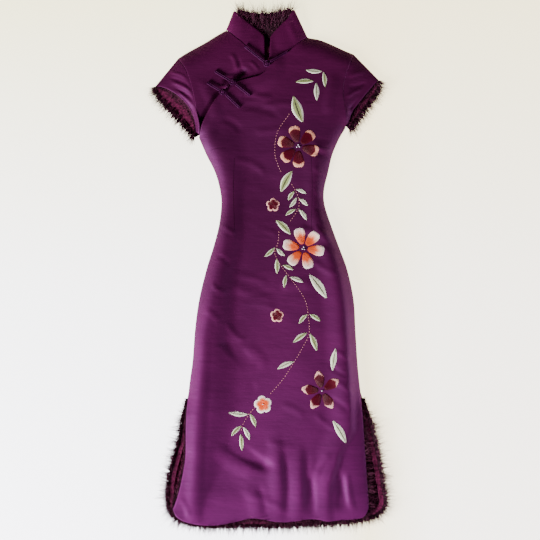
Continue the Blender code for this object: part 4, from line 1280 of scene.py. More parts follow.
def collar_columns():
    """The collar's base and top points from one centre front edge round to the other."""
    middle = COLLAR_SATIN / 2
    columns = []

    def front_column(row, fold_share):
        raised = front_under if row.base_x > -6 else under
        x, y = np.array([float(row.base_x)]), np.array([float(row.base_y)])
        base = (row.base_x, row.base_y - 1.0, float(raised(x, y)[0]) + middle)
        columns.append(base + (row.top_x, row.top_y, COLLAR_TOP_HEIGHT + middle - fold_share))

    def fold_columns(row, side, order):
        for angle in order:
            turn = math.radians(angle)
            ends = ()
            marks = (
                (row.base_x, row.base_y - 1.0, COLLAR_FOLD_BASE, SEAM_HEIGHT + 2.2),
                (row.top_x, row.top_y, COLLAR_FOLD_TOP, COLLAR_TOP_HEIGHT - 1.4),
            )
            for x, y, radius, high in marks:
                inset = radius * (1 - math.cos(turn))
                ends += (x - side * inset, y, middle + high / 2 * (1 + math.sin(turn)))
            columns.append(ends)

    angles = [90, 45, 0, -45, -90]
    for index, row in enumerate(COLLAR_RIGHT):
        front_column(row, index / len(COLLAR_RIGHT))
    fold_columns(COLLAR_RIGHT_FOLD, -1, angles)
    for row in COLLAR_BACK:
        columns.append((row.base_x, row.base_y, middle, row.top_x, row.top_y, middle))
    fold_columns(COLLAR_LEFT_FOLD, 1, angles[::-1])
    for index, row in enumerate(COLLAR_LEFT[::-1]):
        front_column(row, 1 - (index + 1) / len(COLLAR_LEFT))
    return np.array(columns)


def make_collar():
    """One band from the right centre front, round the flattened neck, to the left centre front."""
    table = collar_columns()
    steps = 9
    marks = curve_at(table, np.linspace(0, 1, steps * (len(table) - 1) + 1))
    front_share = np.clip(1 - np.abs(np.linspace(-1, 1, len(marks))), 0, 1)
    tall = np.concatenate([[0, 0.02], np.linspace(0.05, 0.95, 14), [0.98, 1.0]])
    lines = []
    for t in tall:
        place = blend(marks[:, :3], marks[:, 3:], t)
        bulge = 0.9 * math.sin(math.pi * t) * np.sign(place[:, 2] - COLLAR_SATIN)
        pull = 0.35 * np.sin(front_share * 60) * math.sin(math.pi * t)
        drop = roll(min(t, 1 - t) * 55)
        facing = place[:, 2] > COLLAR_SATIN * 1.5
        place[:, 2] += np.where(facing, bulge + pull - 0.5 * drop, 0.0)
        lines.append(place)
    points = np.stack(lines, axis=0)
    made = make_satin("collar_satin", points, "collar", flip=True, offset=0.0)


def collar_fur_lines():
    """The lower and the upper edge of the fur inside the collar's back."""
    lower = rows_of(Point, (-80, 515), (-50, 507), (-7, 505), (40, 503), (66, 505))
    upper = rows_of(Point, (-69, 560), (-44, 556), (-11, 553), (20, 557), (43, 562))
    return lower, upper


def make_collar_plush():
    """The pad of fur on the inside of the collar's back."""
    lower, upper = collar_fur_lines()
    shares = np.linspace(0, 1, 44)
    low, high = curve_at(lower, shares), curve_at(upper, shares)
    side = 1 - np.abs(2 * shares - 1) ** 4
    lines = []
    for t in np.linspace(0, 1, 16):
        place = blend(low, high, t)
        height = 9.0 + (COLLAR_FUR_TOP - 9.0) * ease(t * 3) - 1.5 * ease(t * 3 - 2)
        lines.append(stacked(place[:, 0], place[:, 1], blend(7.5, height, side)))
    for t, height in ((0.25, 7.5), (0.45, 5.0)):
        reach = np.full(len(shares), COLLAR_FUR_REACH * t)
        place = high + np.stack([(shares - 0.5) * 16 * t, reach], axis=1)
        lines.append(stacked(place[:, 0], place[:, 1], height))
    points = np.stack(lines, axis=0)
    made = filled_pad("collar_fur_ground", points, LINING_BOTTOM, fur_ground_material())
    finish_piece(made, "fur", "collar_fur")


# Fur


def trim_level(y):
    """Height between the back's fur edging and the front's."""
    return SATIN + 0.57 * (edge_height(y) - SATIN)


def front_trim_sections():
    """Distance out and upper height of the front's fur edging."""

    def below_panel(x, y):
        return under(x, y) - FUR_GAP

    def beside_panel(x, y):
        return edge_height(y) - 1.2

    def tips(x, y):
        return blend(trim_level(y), edge_height(y), 0.5)

    return [
        (-TRIM_INSIDE - 1, below_panel),
        (-5, below_panel),
        (0, beside_panel),
        (0.18 * FRONT_FUR_REACH, beside_panel),
        (0.32 * FRONT_FUR_REACH, tips),
    ]


def back_trim_sections():
    """Distance out and upper height of the back's fur edging."""

    def pile(x, y):
        return np.minimum(BACK_FUR_TOP, trim_level(y) - 0.2)

    def tips(x, y):
        return blend(LINING_BOTTOM, pile(x, y), 0.5)

    return [
        (-TRIM_INSIDE, pile),
        (-5, pile),
        (1, pile),
        (0.22 * BACK_FUR_REACH, pile),
        (0.38 * BACK_FUR_REACH, tips),
    ]


def trim_path(rows, start):
    """The line of a fur edging, below the level where it starts."""
    path = smooth_line(rows, 5.0)
    return path[path[:, 1] < start]


def front_trim_path():
    return trim_path(RIGHT_SLIT + FRONT_HEM[1:] + LEFT_SLIT[-2::-1], FRONT_TRIM_START)


def back_trim_path():
    return trim_path(BACK_RIGHT_SLIT + BACK_HEM[1:] + BACK_LEFT_SLIT[1:], BACK_TRIM_START)


def path_length(path):
    """Length of a line in millimetres."""
    return np.linalg.norm(np.diff(path, axis=0), axis=1).sum()


def trim_surface(path, sections, place, out):
    """Points on a fur edging's upper face at shares along its path and distances out."""
    normals = left_normals(path)
    index = place * (len(path) - 1)
    stations = np.arange(len(path))
    x = np.interp(index, stations, path[:, 0])
    y = np.interp(index, stations, path[:, 1])
    normal = np.stack([np.interp(index, stations, normals[:, axis]) for axis in (0, 1)], axis=-1)
    x, y = x - normal[..., 0] * out, y - normal[..., 1] * out
    offsets = [offset for offset, _ in sections]
    heights = np.stack([height(x, y) for _, height in sections])
    segment = np.clip(np.searchsorted(offsets, out) - 1, 0, len(offsets) - 2)
    low = np.take_along_axis(heights, segment[None], 0)[0]
    high = np.take_along_axis(heights, segment[None] + 1, 0)[0]
    starts = np.array(offsets, float)
    t = np.clip((out - starts[segment]) / (starts[segment + 1] - starts[segment]), 0, 1)
    return stacked(x, y, blend(low, high, t)), -normal


def make_trim(name, path, sections, bottom, node, material):
    """The dense ground of a fur edging, under its hairs."""
    place = np.linspace(0, 1, len(path))[:, None]
    out = np.linspace(sections[0][0], sections[-1][0], 12)[None, :]
    place, out = np.broadcast_arrays(place, out)
    points, _ = trim_surface(path, sections, place, out)
    made = filled_pad(name, points[:, ::-1].copy(), bottom, material)
    finish_piece(made, "fur", node)


def make_hairs(name, roots, directions, lengths, widths, droop, seed, material, slot, segments=3):
    """Many tapering hairs as one mesh. Each starts at its root and bends as it runs out."""
    rng = np.random.default_rng(seed)
    count = len(roots)
    bm = bmesh.new()
    bmesh.ops.create_grid(bm, x_segments=2 * count - 1, y_segments=segments, size=1.0)
    bm.faces.ensure_lookup_table()
    width = 2 * count - 1
    between = [face for number, face in enumerate(bm.faces) if number % width % 2]
    bmesh.ops.delete(bm, geom=between, context="FACES_ONLY")
    mesh = new_mesh(name, bm)
    directions = directions / np.linalg.norm(directions, axis=1)[:, None]
    sideways = np.cross(directions, rng.normal(size=(count, 3)))
    sideways /= np.linalg.norm(sideways, axis=1)[:, None] + 1e-9
    curl = rng.normal(scale=0.16, size=(count, 3))
    lines = []
    for step in range(segments + 1):
        s = step / segments
        bend = curl * s * s + np.array([0, 0, -1.0]) * (droop * s * s)[:, None]
        centre = roots + (directions * s + bend) * lengths[:, None]
        half = sideways * (widths * (1 - HAIR_TAPER * s) / 2)[:, None]
        edges = np.stack([centre - half, centre + half], axis=1).reshape(-1, 3)
        edges[:, 2] = np.maximum(edges[:, 2], HAIR_FLOOR)
        lines.append(edges)
    row, column = place_points(mesh, np.stack(lines, axis=0))
    tones = rng.random(count)
    for label, values in (("along", row / segments), ("tone", tones[column // 2])):
        attribute = mesh.attributes.new(label, "FLOAT", "POINT")
        attribute.data.foreach_set("value", values.astype(np.float32))
    return finish_piece(add_object(name, mesh, material), slot)


def clumped(values, share, seed, size):
    """Values drawn towards those of a few leaders along a trim, so that hairs gather in locks."""
    rng = np.random.default_rng(seed)
    locks = rng.normal(size=(int(size), values.shape[1]))
    return values + locks[(share * (size - 1)).astype(int)]


def leaning(rng, parts, share, seed, locks, lowest, highest):
    """Directions of hairs in locks, from their parts along X, Y and Z, with a limited rise."""
    apart = rng.normal(scale=HAIR_SPREAD, size=(len(share), 3))
    directions = np.stack(parts, axis=1) + clumped(apart, share, seed, locks) * LOCK_SHARE
    directions[:, 2] = np.clip(directions[:, 2], lowest, highest)
    return directions


def fur_lengths(rng, count, factor):
    """Mostly short underfur, with longer and finer guard hairs through it."""
    fur = bpy.context.scene.qipao_fur
    guard = rng.random(count) < fur.guard_share
    long, short = rng.uniform(*GUARD_LENGTHS, count), rng.uniform(*UNDERFUR_LENGTHS, count)
    share = np.where(guard, long, short)
    widths = np.where(guard, GUARD_WIDTH, UNDERFUR_WIDTH) * rng.uniform(0.75, 1.25, count)
    return fur.length / MM * factor * share, fur.width / MM * widths


def fur_hair_material():
    return hair_material("fur_hairs", dye("fur"), 0.3, 5.6)


def make_trim_hairs(name, path, sections, inner, seed, density, reach, floor):
    """Hairs along a fur edging, upright on the band and lying outwards past its edge.

    Reach gives the hairs' length at the right slit, along the hem and at the left slit.
    """
    fur = bpy.context.scene.qipao_fur
    rng = np.random.default_rng(seed)
    length = path_length(path)
    count = int(length * density * fur.density)
    place = rng.random(count)
    out = blend(inner, sections[-1][0], rng.random(count) ** 0.8)
    grown = blend(0.4, 1.0, ease(np.minimum(place, 1 - place) * length / TRIM_TAPER))
    right, hem, left = reach
    factor = grown * np.interp(place, (0.2, 0.35, 0.65, 0.8), (right, hem, hem, left))
    roots, outward = trim_surface(path, sections, place, np.where(out > 0, out * grown, out))
    roots[:, 2] -= 0.4
    lean = np.clip((out - inner) / (sections[-1][0] - inner), 0, 1)
    steady = 0.35 + lean
    parts = [outward[:, 0] * steady, outward[:, 1] * steady, blend(0.7, 0.12, lean)]
    directions = leaning(rng, parts, place, seed + 1, length / 3.5, -0.02, 0.6)
    lengths, widths = fur_lengths(rng, count, factor)
    droop = np.clip((roots[:, 2] - floor) / np.maximum(lengths, 1), 0, 0.22)
    make_hairs(name, roots, directions, lengths, widths, droop, seed + 2, fur_hair_material(), "fur")


def make_cuff_hairs(name, rows, side, seed):
    """Hairs from under a sleeve's front hem, over the gap and past the back hem."""
    fur = bpy.context.scene.qipao_fur
    rng = np.random.default_rng(seed)
    count = int(CUFF_HAIRS * fur.density)
    share = rng.uniform(0.01, 0.97, count)
    _, front, back = sleeve_lines(rows, share, side)
    inner = rng.random(count) < 0.22
    t = np.where(inner, rng.uniform(-0.12, 0.2, count), rng.uniform(0.68, 1.0, count))
    place = blend(front, back, t[:, None])
    outward = cuff_outward(share, side)
    place += outward * (rng.random(count) * 3.5 * (t > 0.75))[:, None]
    across = np.clip(t, 0, 1)
    height = blend(CUFF_FOLD_HEIGHT - 1.6, 4.4, across)
    parts = [outward[:, 0], outward[:, 1], blend(0.55, 0.15, across)]
    directions = leaning(rng, parts, share, seed + 1, 110, 0.0, 0.8)
    lengths, widths = fur_lengths(rng, count, np.where(t < 0.3, 0.5, 0.9))
    roots = stacked(place[:, 0], place[:, 1], height)
    droop = np.full(count, 0.1)
    make_hairs(name, roots, directions, lengths, widths, droop, seed + 2, fur_hair_material(), "fur")


def make_collar_hairs():
    """Hairs on the inside of the collar's back, and the fringe above its top edge."""
    fur = bpy.context.scene.qipao_fur
    rng = np.random.default_rng(61)
    count = int(COLLAR_HAIRS * fur.density)
    share = rng.random(count)
    t = rng.random(count) ** 0.5 * 1.04
    lower, upper = collar_fur_lines()
    place = blend(curve_at(lower, share), curve_at(upper, share), t[:, None])
    side = 1 - np.abs(2 * share - 1) ** 4
    height = blend(7.0, 9.6, side) - 3.0 * ease(t * 6 - 5)
    parts = [(share - 0.5) * 0.7, np.full(count, 1.0), blend(0.5, 0.25, ease(t))]
    directions = leaning(rng, parts, share, 62, 110, 0.0, 0.7)
    lengths, widths = fur_lengths(rng, count, blend(0.5, 1.25, ease(t * 2 - 1)))
    roots = stacked(place[:, 0], place[:, 1], height)
    droop = np.full(count, 0.12)
    material = fur_hair_material()
    make_hairs("collar_hairs", roots, directions, lengths, widths, droop, 63, material, "fur")


def make_lining_pile():
    """Short pile on the part of the back's lining that shows in the slits and at the hem."""
    fur = bpy.context.scene.qipao_fur
    rng = np.random.default_rng(71)
    path = back_trim_path()
    length = path_length(path)
    count = int(length * PILE_PER_MM * fur.density)
    place = rng.random(count)
    out = rng.uniform(-42, -TRIM_INSIDE + 1, count)

    def level(x, y):
        return np.full(np.shape(x), LINING_TOP - 0.7)

    roots, outward = trim_surface(path, [(-60, level), (0, level)], place, out)
    directions = np.stack([outward[:, 0] * 0.4, outward[:, 1] * 0.4, np.full(count, 0.8)], axis=1)
    directions += clumped(rng.normal(scale=0.5, size=(count, 3)), place, 72, 160) * 0.3
    dark = roots[:, 0] > LINING_FUR_START
    lengths = np.where(dark, rng.uniform(3.0, 6.5, count), rng.uniform(2.5, 5.5, count))
    widths = np.full(count, 0.8)
    droop = np.full(count, 0.1)
    wine = hair_material("plush_pile", dye("plush"), 1.6, 4.2)
    for name, chosen, material, slot in (
        ("lining_pile", ~dark, wine, "plush"),
        ("lining_fur", dark, fur_hair_material(), "fur"),
    ):
        kept = [values[chosen] for values in (roots, directions, lengths, widths, droop)]
        make_hairs(name, *kept, 73, material, slot, 2)


# Frogs


def frog_height(x, y):
    """Height for a cord's centre, clear of whatever lies below it nearby."""
    around = [(0, 0), (4, 0), (-4, 0), (0, 4), (0, -4)]
    return np.max([outside(x + dx, y + dy) for dx, dy in around], axis=0) + CORD + FROG_LIFT


def strap_points(tail, head, loop_radius, lift):
    """A doubled cord from its tail to its head, where it opens into a round loop."""
    dx, dy = head.x - tail.x, head.y - tail.y
    size = math.hypot(dx, dy)
    half = CORD_PITCH / 2
    neck = math.sqrt(max(0.0, loop_radius**2 - half * half))
    straight = np.linspace(half, size - neck, 9)
    start = math.atan2(half, -neck)
    angles = np.linspace(start, -start, 19)[1:-1]
    turns = np.linspace(0.3, 2.84, 7)
    along = np.concatenate(
        [straight, size + loop_radius * np.cos(angles), straight[::-1], half - half * np.sin(turns)]
    )
    offset = np.concatenate(
        [np.full(9, half), loop_radius * np.sin(angles), np.full(9, -half), -half * np.cos(turns)]
    )
    x = tail.x + dx / size * along - dy / size * offset
    y = tail.y + dy / size * along + dx / size * offset
    return stacked(x, y, frog_height(x, y) - 0.5 + lift)


def cord_curve(name, points, radius, material, cyclic=True):
    """A cord as a round mesh tube along points in millimetres."""
    curve = bpy.data.curves.new(name, "CURVE")
    curve.dimensions = "3D"
    curve.bevel_depth = radius * MM
    curve.bevel_resolution = 3
    curve.use_fill_caps = True
    spline = curve.splines.new("POLY")
    spline.points.add(len(points) - 1)
    spline.points.foreach_set("co", np.hstack([points * MM, np.ones((len(points), 1))]).ravel())
    spline.use_cyclic_u = cyclic
    spline.use_smooth = True
    return add_object(name, curve, material)


def make_button(number, frog):
    """A ball knot: a core with the cord wound round it on slanting turns."""
    around = [(dx, dy) for dx in (-3, 0, 3) for dy in (-3, 0, 3)]
    ground = max(float(outside(frog.knot_x + dx, frog.knot_y + dy)) for dx, dy in around)
    centre = np.array([frog.knot_x, frog.knot_y, ground + frog.lift + BUTTON * 0.8])
    name = f"frog_{number}_ball"
    angle = np.linspace(0, 2 * math.pi, 220, endpoint=False)
    lean = 0.95 * np.sin(BUTTON_TURNS * angle)
    ring = BUTTON - 1.25
    points = np.stack(
        [
            ring * np.cos(2 * angle) * np.cos(lean),
            ring * np.sin(2 * angle) * np.cos(lean),
            ring * BUTTON_HEIGHT * np.sin(lean),
        ],
        axis=1,
    )
    ball = cord_curve(name, points + centre, BUTTON_CORD, cord_material())
    finish_piece(ball, "frog_cord", f"frog_{number}_button")
    name = f"frog_{number}_core"
    bm = bmesh.new()
    bmesh.ops.create_icosphere(bm, subdivisions=3, radius=(BUTTON - 1.1) * MM)
    bmesh.ops.scale(bm, vec=(1, 1, BUTTON_HEIGHT), verts=bm.verts)
    bmesh.ops.translate(bm, vec=centre * MM, verts=bm.verts)
    finish_piece(add_object(name, new_mesh(name, bm), cord_material()), "frog_cord")


def make_strap(name, tail, head, radius, lift):
    """The doubled cord of one half of a frog, in its node's place."""
    points = strap_points(tail, head, radius, lift / 2)
    cord = cord_curve(f"{name}_cord", points, CORD, cord_material())
    finish_piece(cord, "frog_cord", name)


def make_frog(number, frog):
    """The loop on the lap's side, the knotted tail on the front and the ball between them."""
    knot = Point(frog.knot_x, frog.knot_y)
    lap_tail, front_tail = Point(frog.lap_x, frog.lap_y), Point(frog.front_x, frog.front_y)
    make_strap(f"frog_{number}_loop", lap_tail, knot, LOOP_RADIUS, frog.lift)
    dx, dy = front_tail.x - knot.x, front_tail.y - knot.y
    size = math.hypot(dx, dy)
    head_radius = CORD_PITCH / 2 + 0.2
    stop = LOOP_RADIUS + 2 * CORD + head_radius + LAYER_GAP
    head = Point(knot.x + dx / size * stop, knot.y + dy / size * stop)
    make_strap(f"frog_{number}_tail", front_tail, head, head_radius, frog.lift)
    make_button(number, frog)


# Embroidery


def half_width(shape, v):
    """Share of a petal's or leaf's half width along it."""
    if shape == "round":
        return v**0.5 * np.sqrt(np.clip(1 - v**4.5, 0, 1)) / 0.75
    if shape == "pointed":
        return v**0.5 * np.clip((1 - v) / 0.45, 0, 1) ** 0.85 / 0.74
    return np.sin(math.pi * np.clip(v, 0, 1)) ** 1.05


def stitched_patch(bm, base, tip, width, shape, bow, rise):
    """One crowned patch of satin stitch from its base to its tip, lying on the satin."""
    columns, rows = 11, 21
    u = np.linspace(-1, 1, columns)[None, :]
    v = (0.5 - 0.5 * np.cos(np.linspace(0.06, math.pi - 0.03, rows)))[:, None]
    dx, dy = tip[0] - base[0], tip[1] - base[1]
    size = math.hypot(dx, dy)
    side = half_width(shape, v) * width / 2 * u + bow * np.sin(math.pi * v)
    x = base[0] + dx * v - dy / size * side
    y = base[1] + dy * v + dx / size * side
    edge = 1 - np.abs(u) ** 3
    ends = ease(v * 9) * ease((1 - v) * 9)
    crown = np.sqrt(np.clip(edge, 0, 1))
    z = outside(x, y) - STITCH_SINK + (rise + STITCH_SINK) * crown * ends
    points = stacked(x, y, z)
    across, along = columns - 1, rows - 1
    grid = bmesh.ops.create_grid(bm, x_segments=across, y_segments=along, size=1.0, calc_uvs=True)
    for vertex in grid["verts"]:
        column = round((vertex.co.x + 1) / 2 * across)
        row = round((vertex.co.y + 1) / 2 * along)
        vertex.co = points[row, column] * MM


def finish_stitches(name, mesh, material):
    """Embroidery on the satin, as thick as its thread."""
    made = add_object(name, mesh, material)
    add_wall(made, "Thread thickness", THREAD_WALL)
    finish_piece(made, "satin")


def stitched_piece(name, patches, material, rise):
    """Several patches of one finish as one raised piece."""
    bm = bmesh.new()
    bm.loops.layers.uv.new("UVMap")
    for patch in patches:
        stitched_patch(bm, *patch, rise)
    bmesh.ops.recalc_face_normals(bm, faces=bm.faces[:])
    for face in bm.faces:
        if face.normal.z < 0:
            face.normal_flip()
    finish_stitches(name, new_mesh(name, bm), material)


def flower_finishes():
    wine, orange = dye("petal_wine"), dye("petal_orange")
    peach, pink, ivory = dye("petal_peach"), dye("petal_pink"), dye("petal_ivory")
    blush = blend(np.array(peach), np.array(pink), 0.5)
    return {
        "wine": petal_material("petals_wine", wine, peach, blush, 0.70, 0.2, 0.12),
        "orange": petal_material("petals_orange", orange, peach, ivory, 0.55, 0.34, 0.40),
        "rose": petal_material("petals_rose", wine, shade(pink, 0.8), pink, 0.68, 0.1, 0.14),
        "outlined": lobed_material("flower_outlined", wine, wine, pink),
        "blossom": lobed_material("flower_blossom", orange, peach, ivory),
    }


def make_flowers():
    rise = bpy.context.scene.qipao_thread.petal_rise / MM
    finishes = flower_finishes()
    for number, flower in enumerate(FLOWERS, 1):
        patches = []
        for angle in flower.angles:
            dx, dy = math.cos(math.radians(angle)), math.sin(math.radians(angle))
            base = (flower.x + dx * flower.start, flower.y + dy * flower.start)
            tip = (flower.x + dx * flower.reach, flower.y + dy * flower.reach)
            patches.append((base, tip, flower.width, flower.shape, 0.0))
        stitched_piece(f"flower_{number}", patches, finishes[flower.finish], rise)
    for number, flower in enumerate(SMALL_FLOWERS, len(FLOWERS) + 1):
        make_small_flower(f"flower_{number}", flower, finishes[flower.finish], rise)


def make_small_flower(name, flower, material, rise):
    """A flower of five joined lobes, raised from its centre."""
    turn, lobes = math.radians(flower.angles[0]), flower.angles[1]
    around = np.linspace(0, 2 * math.pi, 81)[None, :]
    out = np.linspace(0.03, 1, 12)[:, None]
    lobed = np.abs(np.cos(lobes * (around - turn) / 2)) ** 0.5
    edge = flower.reach * (1 - flower.width + flower.width * lobed)
    x = flower.x + np.cos(around) * edge * out
    y = flower.y + np.sin(around) * edge * out
    crown = np.sqrt(np.clip(1 - out**4, 0, 1)) * (0.75 + 0.25 * np.sin(math.pi * out))
    points = stacked(x, y, outside(x, y) - STITCH_SINK + (rise + STITCH_SINK) * crown)
    finish_stitches(name, grid_mesh(name, points, flip=True), material)


def make_leaves():
    rise = bpy.context.scene.qipao_thread.leaf_rise / MM
    sage, pale, vein = dye("leaf_sage"), dye("leaf_pale"), dye("leaf_vein")
    light = shade(blend(np.array(sage), np.array(pale), 0.5), 1.0)
    for finish, body in (("sage", sage), ("pale", light)):
        name = f"leaves_{finish}"
        patches = [
            ((leaf.x0, leaf.y0), (leaf.x1, leaf.y1), leaf.width, "leaf", leaf.bow)
            for leaf in LEAVES
            if leaf.finish == finish
        ]
        stitched_piece(name, patches, leaf_material(name, body, pale, vein), rise)


def make_vine():
    """Running stitch: short raised stitches along each stem."""
    thread = bpy.context.scene.qipao_thread
    size = (thread.stitch_length, thread.stitch_width, thread.stitch_width * 0.8)
    bm = bmesh.new()
    for vine in VINES:
        line = smooth_line(vine, VINE_PITCH)
        heights = outside(line[:, 0], line[:, 1])
        for start, end, z in zip(line, line[1:], heights):
            angle = math.atan2(end[1] - start[1], end[0] - start[0])
            grain = bmesh.ops.create_uvsphere(bm, u_segments=8, v_segments=6, radius=0.5)["verts"]
            bmesh.ops.scale(bm, vec=size, verts=grain)
            bmesh.ops.rotate(bm, verts=grain, matrix=Matrix.Rotation(angle, 3, "Z"))
            place = (start[0] * MM, start[1] * MM, (z + 0.1) * MM)
            bmesh.ops.translate(bm, vec=place, verts=grain)
    material = plain_material("vine_thread", dye("vine"), 0.5)
    made = add_object("vine_stitches", new_mesh("vine_stitches", bm), material)
    finish_piece(made, "satin")


def make_beads():
    """Small round beads at the hearts of the flowers."""
    radius = bpy.context.scene.qipao_thread.bead_size / 2
    bm = bmesh.new()
    for bead in BEADS:
        ball = bmesh.ops.create_icosphere(bm, subdivisions=2, radius=radius)["verts"]
        z = float(outside(bead.x, bead.y)) * MM + radius * 1.1
        bmesh.ops.translate(bm, vec=(bead.x * MM, bead.y * MM, z), verts=ball)
    material = plain_material("bead_glass", dye("bead"), 0.15, 0.6)
    finish_piece(add_object("beads", new_mesh("beads", bm), material), "satin")


def make_seams():
    """The sewn lines of the darts, each a fine welt on the panel, darkened as painted shade of the
    dart's fold.
    """
    # The welts' dark colour is painted shade of the darts' folds.
    material = plain_material("seam_thread", shade(dye("satin"), 0.4), 0.8, 0.05)
    for number, dart in enumerate(DARTS, 1):
        line = smooth_line(dart, 3.0)
        points = stacked(line[:, 0], line[:, 1], outside(line[:, 0], line[:, 1]) - 0.15)
        welt = cord_curve(f"dart_{number}", points, SEAM_RADIUS, material, cyclic=False)
        finish_piece(welt, "satin")


# Settings


def length_property(name, description, default, low, high, precision=4):
    return FloatProperty(
        name=name,
        description=description,
        default=default,
        min=low,
        max=high,
        unit="LENGTH",
        precision=precision,
    )


def number_property(name, description, default, low, high):
    return FloatProperty(name=name, description=description, default=default, min=low, max=high)


class QipaoCloth(bpy.types.PropertyGroup):
    crease_depth: number_property("Crease depth", "Share of the small creases' height", 1.0, 0, 2)
    satin_wall: length_property(
        "Satin wall", "Thickness of the satin and its interlining", 0.0013, 0.0003, 0.003
    )


class QipaoFur(bpy.types.PropertyGroup):
    length: length_property("Hair length", "Length of the fur's guard hairs", 0.0225, 0.004, 0.03)
    width: length_property(
        "Hair width", "Width of a lock of hairs at its root", 0.00062, 0.0001, 0.002, precision=5
    )
    guard_share: number_property("Guard hairs", "Share of hairs that are long guard hairs", 0.15, 0, 1)
    density: number_property("Density", "Share of the full number of hairs", 1.0, 0.05, 1.3)


class QipaoThread(bpy.types.PropertyGroup):
    petal_rise: length_property(
        "Petal rise", "How far the petals stand above the satin", 0.0011, 0.0002, 0.003
    )
    leaf_rise: length_property(
        "Leaf rise", "How far the leaves stand above the satin", 0.0009, 0.0002, 0.003
    )
    stitch_length: length_property("Stitch length", "Length of a running stitch", 0.0036, 0.001, 0.006)
    stitch_width: length_property("Stitch width", "Width of a running stitch", 0.0015, 0.0003, 0.002)
    bead_size: length_property("Bead size", "Diameter of a bead", 0.0028, 0.001, 0.005)


def power_property(name, description, default):
    return FloatProperty(name=name, description=description, default=default, min=0, unit="POWER")


def colour_property(name, description, default):
    return FloatVectorProperty(
        name=name, description=description, default=default, size=3, min=0, max=1, subtype="COLOR"
    )


class QipaoColours(bpy.types.PropertyGroup):
    satin: colour_property("Satin", "Dye of the plum satin", (0.064, 0.0021, 0.038))
    cord: colour_property("Cord", "Dye of the frogs' cord", (0.036, 0.0026, 0.027))
    fur: colour_property("Fur", "Colour of the fur edging", (0.038, 0.007, 0.018))
    plush: colour_property("Plush", "Colour of the wine lining", (0.106, 0.009, 0.042))
    petal_wine: colour_property(
        "Petal wine", "Inner thread of the wine flowers", (0.082, 0.0004, 0.009)
    )
    petal_orange: colour_property(
        "Petal orange", "Inner thread of the orange flower", (0.80, 0.095, 0.018)
    )
    petal_peach: colour_property(
        "Petal peach", "Thread between the inner colour and the tip", (0.90, 0.38, 0.22)
    )
    petal_pink: colour_property("Petal pink", "Tip of the wine flowers", (0.95, 0.48, 0.38))
    petal_ivory: colour_property("Petal ivory", "Tip of the orange flower", (0.98, 0.90, 0.80))
    leaf_sage: colour_property("Leaf sage", "Body of the leaves", (0.36, 0.44, 0.16))
    leaf_pale: colour_property("Leaf edge", "Pale edge of the leaves", (0.93, 0.95, 0.74))
    leaf_vein: colour_property("Leaf vein", "Vein of the leaves", (0.06, 0.05, 0.03))
    vine: colour_property("Vine", "Thread of the running stitch", (0.50, 0.20, 0.18))
    bead: colour_property("Bead", "Glass of the beads", (0.90, 0.84, 0.84))


class QipaoStage(bpy.types.PropertyGroup):
    view_width: length_property("View width", "Width of floor that the camera takes in", 1.188, 0.5, 3)
    lens: number_property("Lens", "Focal length in millimetres", 110, 35, 300)
    key_power: power_property("Key power", "Power of the light at the left", 425)
    fill_power: power_property("Fill power", "Power of the low light at the right", 75)
    sky: number_property("Sky", "Strength of the even light all round", 0.06, 0, 2)
    floor: colour_property("Floor", "Colour of the pale floor", (0.86, 0.855, 0.85))
    # The floor's colours below, above and beside are painted light and shade: lighter and cooler past
    # the hem, darker and warmer past the collar, and a painted warm shadow past the dress's right
    # side.
    floor_painted_light: colour_property("Floor below", "Colour of the floor past the hem", (0.93, 0.935, 0.98))
    floor_painted_shade: colour_property(
        "Floor above", "Colour of the floor past the collar", (0.73, 0.68, 0.42)
    )
    floor_painted_shadow: colour_property(
        "Floor beside", "Colour of the floor past the right side", (0.73, 0.64, 0.38)
    )
    floor_glow: number_property("Floor glow", "Light that the pale floor adds of its own", 4.2, 0, 8)


# Operators


class QIPAO_OT_back(bpy.types.Operator):
    """Make the back panel and the plush on it"""

    bl_idname = "qipao.back"
    bl_label = "Back and its lining"

    def execute(self, context):
        make_back_panel()
        make_back_plush()
        return {"FINISHED"}


class QIPAO_OT_front(bpy.types.Operator):
    """Make the front panel, the lap below it, the plush behind them and the darts"""

    bl_idname = "qipao.front"
    bl_label = "Front, lap and darts"

    def execute(self, context):
        make_front_plush()
        make_under_lap()
        make_front_panel()
        make_seams()
        return {"FINISHED"}


class QIPAO_OT_sleeves(bpy.types.Operator):
    """Make the two cap sleeves with the plush inside them"""

    bl_idname = "qipao.sleeves"
    bl_label = "Sleeves"

    def execute(self, context):
        make_sleeve("right_sleeve_satin", RIGHT_SLEEVE, -1, "right_sleeve")
        make_sleeve("left_sleeve_satin", LEFT_SLEEVE, 1, "left_sleeve")
        make_sleeve_plush("right_cuff_ground", RIGHT_SLEEVE, -1, "right_sleeve_fur")
        make_sleeve_plush("left_cuff_ground", LEFT_SLEEVE, 1, "left_sleeve_fur")
        return {"FINISHED"}


class QIPAO_OT_collar(bpy.types.Operator):
    """Make the standing collar and the fur inside it"""

    bl_idname = "qipao.collar"
    bl_label = "Collar"

    def execute(self, context):
        make_collar()
        make_collar_plush()
        return {"FINISHED"}


